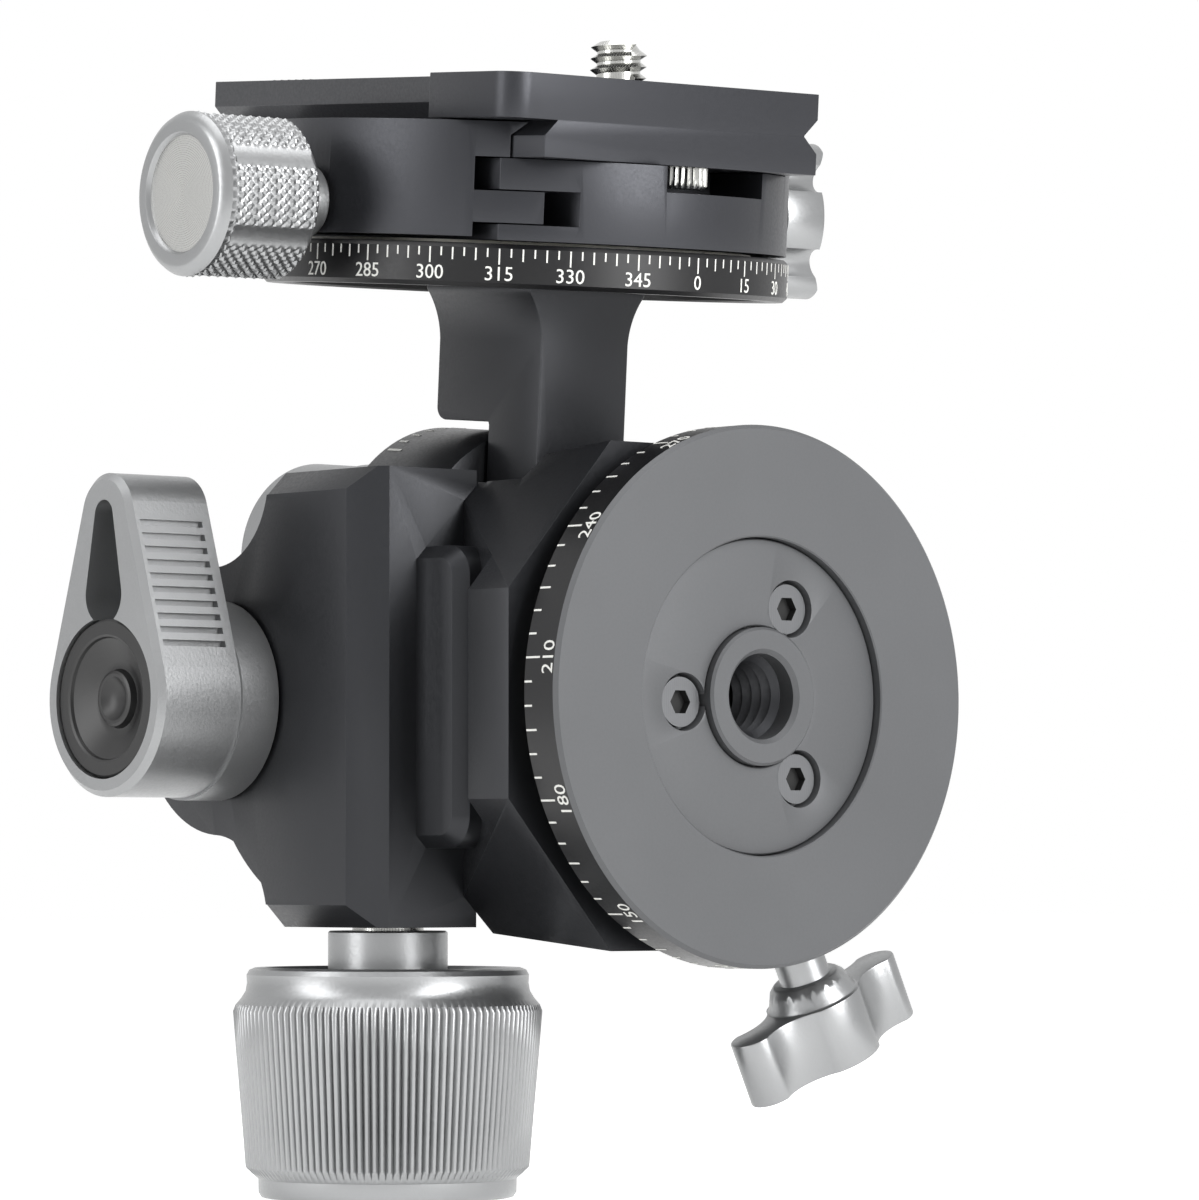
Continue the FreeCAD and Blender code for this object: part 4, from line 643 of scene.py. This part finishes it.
def figure(text, size, middle, low):
    """Outline mesh of a number, centred on middle with its foot at low: vertices and faces in mm."""
    bpy.ops.object.select_all(action="DESELECT")
    bpy.ops.object.text_add(location=(0, 0, 0))
    writing = bpy.context.object
    writing.data.body = text
    writing.data.size = 1.0
    writing.data.align_x = "CENTER"
    writing.data.resolution_u = 3
    bpy.ops.object.convert(target="MESH")
    writing = bpy.context.object
    edit(writing)
    bpy.ops.mesh.remove_doubles(threshold=0.0005)
    bpy.ops.mesh.quads_convert_to_tris()
    pick(writing)
    scale = size / CAPITAL_HEIGHT
    points = [(middle + v.co.x * scale, low + v.co.y * scale) for v in writing.data.vertices]
    faces = [tuple(face.vertices) for face in writing.data.polygons]
    bpy.data.objects.remove(writing)
    return points, faces


def wrapped_scale(name, bars, figures, wrap):
    """Thin solids of all marks on one mesh. wrap turns (along, up, height) in mm into a point."""
    sheet = bmesh.new()
    shapes = [(bar, [(0, 1, 2), (0, 2, 3)]) for bar in bars] + figures
    for points, faces in shapes:
        low = [sheet.verts.new(wrap(s, t, -PAINT) * MM) for s, t in points]
        high = [sheet.verts.new(wrap(s, t, PAINT) * MM) for s, t in points]
        rim = {}  # keeps the order in which the edges come
        for face in faces:
            sheet.faces.new([high[i] for i in face])
            sheet.faces.new([low[i] for i in reversed(face)])
            for a, b in zip(face, face[1:] + face[:1]):
                rim[(a, b)] = True
        for a, b in rim:
            if (b, a) not in rim:
                sheet.faces.new([low[a], low[b], high[b], high[a]])
    mesh = bpy.data.meshes.new(name)
    sheet.to_mesh(mesh)
    sheet.free()
    piece = bpy.data.objects.new(name, mesh)
    bpy.context.scene.collection.objects.link(piece)
    edit(piece)
    bpy.ops.mesh.normals_make_consistent(inside=False)
    pick(piece)
    return piece


# %% [markdown]
# The base scale runs round the disc's edge: a line every five degrees, a longer one every fifteen and
# a figure every thirty. The figures stand with their tops towards the housing.

# %% Base scale
SCALE_TURN = 202.8
TICK_W = 0.22


def around_base(s, t, height):
    """Along the paper is down the side, in degrees of the scale; up it is from the rear edge."""
    angle = s / BASE_R - math.radians(SCALE_TURN)
    radius = BASE_R + height
    return Vector((-BASE_T + t, -radius * math.cos(angle), radius * math.sin(angle)))


PER_DEGREE = math.pi * BASE_R / 180
bars, figures = [], []
for degrees in range(0, 360, 5):
    length = 2.3 if degrees % 30 == 0 else 1.7 if degrees % 15 == 0 else 1.2
    bars.append(flat_bar(degrees * PER_DEGREE, 0.25, 0.25 + length, TICK_W))
for degrees in range(0, 360, 30):
    points, faces = figure(str(degrees), 1.75, 0, 0)
    points = [(degrees * PER_DEGREE + a, 4.75 - b) for a, b in points]
    figures.append((points, faces))
base_scale = wrapped_scale("base_scale", bars, figures, around_base)
dress(base_scale, "base", mark_white)
print("base scale marks", len(bars), "figures", len(figures))

# %% [markdown]
# The clamp scale is finer, with a line every two and a half degrees from the ring's upper edge and a
# figure every fifteen below them, upright as the head stands. It turns with the ring.

# %% Clamp scale
RING_DEGREE = math.pi * RING_R / 180


def around_ring(s, t, height):
    angle = s / RING_R
    radius = RING_R + height
    x, y = PAN_X + radius * math.cos(angle), PAN_Y + radius * math.sin(angle)
    return ROLL_REST @ (Vector((x, y, t)) * MM) / MM


bars, figures = [], []
for step in range(144):
    length = 1.75 if step % 6 == 0 else 1.35 if step % 2 == 0 else 0.95
    top = RING_TOP - 0.55
    bars.append(flat_bar(step * 2.5 * RING_DEGREE, top - length, top, 0.17))
for degrees in range(0, 360, 15):
    figures.append(figure(str(degrees), 1.55, degrees * RING_DEGREE, RING_LOW + 0.75))
clamp_scale = wrapped_scale("clamp_scale", bars, figures, around_ring)
dress(clamp_scale, node_body["pan_ring"], mark_white)
print("clamp scale marks", len(bars), "figures", len(figures))

# %% [markdown]
# A few white lines on the drum, near its rear end, show how far the arm has rolled. They are made
# like the other scales, on a smaller cylinder, and lean with the drum.

# %% Drum scale
DRUM_R, DRUM_BACK = 16.1, -52.7


def around_drum(s, t, height):
    angle = s / DRUM_R
    radius = DRUM_R + height
    y, z = ROLL_Y - radius * math.cos(angle), ROLL_Z + radius * math.sin(angle)
    return TILT_REST @ (Vector((DRUM_BACK + t, y, z)) * MM) / MM


bars = []
for step in range(11):
    length = 2.4 if step % 5 == 0 else 1.4
    bars.append(flat_bar((55 + 7 * step) * math.pi * DRUM_R / 180, 0.7, 0.7 + length, 0.35))
drum_scale = wrapped_scale("drum_scale", bars, [], around_drum)
dress(drum_scale, node_body["tilt_rotor"], mark_white)
print("drum scale marks", len(bars))

# %% [markdown]
# The camera screw has a flat head under the plate, a plain shank in the slot and a 1/4 inch thread
# above it. The heights build up from the pan ring: ring, gap, clamp deck, gap, plate. The thread is
# wound like the tripod thread, but outwards from its core, and stands clear of the slot.

# %% Camera screw
RING_GAP, CLAMP_T, PLATE_GAP, PLATE_T = 0.4, 9.0, 0.1, 9.1
DECK = RING_TOP + RING_GAP + CLAMP_T
PLATE_LOW = DECK + PLATE_GAP
PLATE_TOP = PLATE_LOW + PLATE_T
CAMERA_X, CAMERA_TIP = PAN_X + 16.0, 4.7
CAMERA_R, CAMERA_CORE, CAMERA_PITCH = 3.175, 2.45, 1.27
HEAD_R, HEAD_T, HEAD_RISE = 6.0, 2.4, 1.65
tip, head_low = PLATE_TOP + CAMERA_TIP, PLATE_LOW + HEAD_RISE
head_top = head_low + HEAD_T
camera_screw = lathe("camera_screw_finish",
                     [(head_low, 0), (head_low, HEAD_R - 0.4), (head_low + 0.4, HEAD_R),
                      (head_top - 0.3, HEAD_R), (head_top, HEAD_R - 0.3), (head_top, CAMERA_CORE),
                      (tip - 0.8, CAMERA_CORE), (tip - 0.15, 1.9), (tip, 1.6), (tip, 0)],
                     (CAMERA_X, PAN_Y, 0), AXIS["Z"], AXIS["X"], 64)
place(camera_screw, CLAMP_REST)
dress(camera_screw, node_body["camera_screw"], steel, ["camera_screw"])
THREADED, CORE_SINK, THREAD_BELOW_TIP = 5.1, 0.1, 4.5
screw_thread = wound_ridge("camera_screw_thread", CAMERA_CORE - CORE_SINK, CAMERA_R, CAMERA_PITCH,
                           THREADED, 48)
thread_foot = Vector((CAMERA_X, PAN_Y, tip - THREAD_BELOW_TIP)) * MM
place(screw_thread, CLAMP_REST @ Matrix.Translation(thread_foot))
dress(screw_thread, node_body["camera_screw"], steel)
print("screw tip at z", round(tip, 1))

# %% [markdown]
# A small knurled stop under the plate keeps it from sliding out of the clamp. Its 24 grooves are
# pressed, not cut, so they are shallow and round, and each vertex of its rim is pulled in a little.

# %% Plate stop
STOP_R, STOP_T, STOP_EDGE, STOP_GROOVES, STOP_GROOVE_D = 2.6, 2.3, 0.35, 24, 0.22
stop_base = Vector((PAN_X + 24.3, PAN_Y + 3.5, 0))
stop_low = PLATE_LOW - STOP_T
stop = lathe("plate_stop_finish",
             [(PLATE_LOW, 0), (PLATE_LOW, STOP_R), (PLATE_LOW - 0.6, STOP_R), (PLATE_LOW - 1.2, STOP_R),
              (stop_low + 0.3, STOP_R), (stop_low, STOP_R - STOP_EDGE), (stop_low, 0)],
             stop_base, AXIS["Z"], AXIS["X"], 96)
for vertex in stop.data.vertices:
    x, y, _ = vertex.co / MM - stop_base
    radius = math.hypot(x, y)
    if radius > STOP_R - 0.05:
        pull = STOP_GROOVE_D * abs(math.sin(math.atan2(y, x) * STOP_GROOVES / 2))
        vertex.co.x -= pull * MM * x / radius
        vertex.co.y -= pull * MM * y / radius
place(stop, CLAMP_REST)
dress(stop, node_body["plate_stop"], steel, ["plate_stop"])
print("stop grooves", STOP_GROOVES)

# %% [markdown]
# The plate's rubber strip grips the camera with small teeth. The copy of its node keeps them, and a
# tiny bevel rounds each crest as moulding would.

# %% Rubber strip
softened("plate_pad", node_body["plate_pad"], rubber_black, 0.08)

# %% [markdown]
# The photograph has a white ground and soft light. The floor is pale, and rays that come straight
# from the camera, from metal or through glass see plain white; the lamps only model the object.

# %% Floor and backdrop
FLOOR_Z = -55.6
bpy.ops.object.select_all(action="DESELECT")
bpy.ops.mesh.primitive_plane_add(size=6.0, location=(0, 0, FLOOR_Z * MM))
floor = bpy.context.object
floor.name = "floor"
PAPER_GLOW, WORLD_ON_OBJECT = 0.82, 0.22


def seen_by_eye(tree):
    """One for rays from the camera, from metal or through glass, and zero for the rest."""
    path = add(tree, "LightPath")
    camera_ray, metal_ray = path.outputs["Is Camera Ray"], path.outputs["Is Glossy Ray"]
    glass_ray = path.outputs["Is Transmission Ray"]
    either = add(tree, "Math", links={0: camera_ray, 1: metal_ray}, operation="MAXIMUM")
    seen = add(tree, "Math", links={0: either.outputs[0], 1: glass_ray}, operation="MAXIMUM")
    return seen.outputs[0]


paper, tree = new_material("pale studio paper")
diffuse = add(tree, "BsdfDiffuse", {"Color": linear("#f2f2f1")})
glow = add(tree, "Emission", {"Color": (1, 1, 1, 1), "Strength": PAPER_GLOW})
lit = add(tree, "AddShader", links={0: diffuse.outputs[0], 1: glow.outputs[0]})
mixed = add(tree, "MixShader", links={0: seen_by_eye(tree), 1: diffuse.outputs[0], 2: lit.outputs[0]})
add(tree, "OutputMaterial", links={"Surface": mixed.outputs[0]})
floor.data.materials.append(paper)

world = bpy.data.worlds.new("studio")
bpy.context.scene.world = world
world.use_nodes = True
tree = world.node_tree
tree.nodes.clear()
strength = add(tree, "MapRange", {"To Min": WORLD_ON_OBJECT, "To Max": 1.0},
               {"Value": seen_by_eye(tree)})
backdrop = add(tree, "Background", {"Color": (1, 1, 1, 1)}, {"Strength": strength.outputs["Result"]})
add(tree, "OutputWorld", links={"Surface": backdrop.outputs["Background"]})
print("floor at", FLOOR_Z, "mm")

# %% [markdown]
# Three large soft lamps model the object: a key light from the right that falls on the base disc, a
# fill from the left for the lever side, and one from above. Large lamps give soft edges to the
# highlights on the silver parts, as softboxes do in a studio.

# %% Lamps
def soft_lamp(name, place_mm, size_mm, watts, target_mm=(-30, -5, 5)):
    data = bpy.data.lights.new(name, "AREA")
    data.shape = "RECTANGLE"
    data.size, data.size_y = size_mm[0] * MM, size_mm[1] * MM
    data.energy = watts
    lamp = bpy.data.objects.new(name, data)
    bpy.context.scene.collection.objects.link(lamp)
    lamp.location = Vector(place_mm) * MM
    aim = Vector(target_mm) * MM - lamp.location
    lamp.rotation_euler = aim.to_track_quat("-Z", "Y").to_euler()
    return lamp


soft_lamp("key_right", (420, 60, 200), (260, 420), 3.0)
soft_lamp("fill_left", (-120, -420, 160), (200, 420), 1.2)
soft_lamp("top", (-40, -20, 460), (420, 420), 1.4)
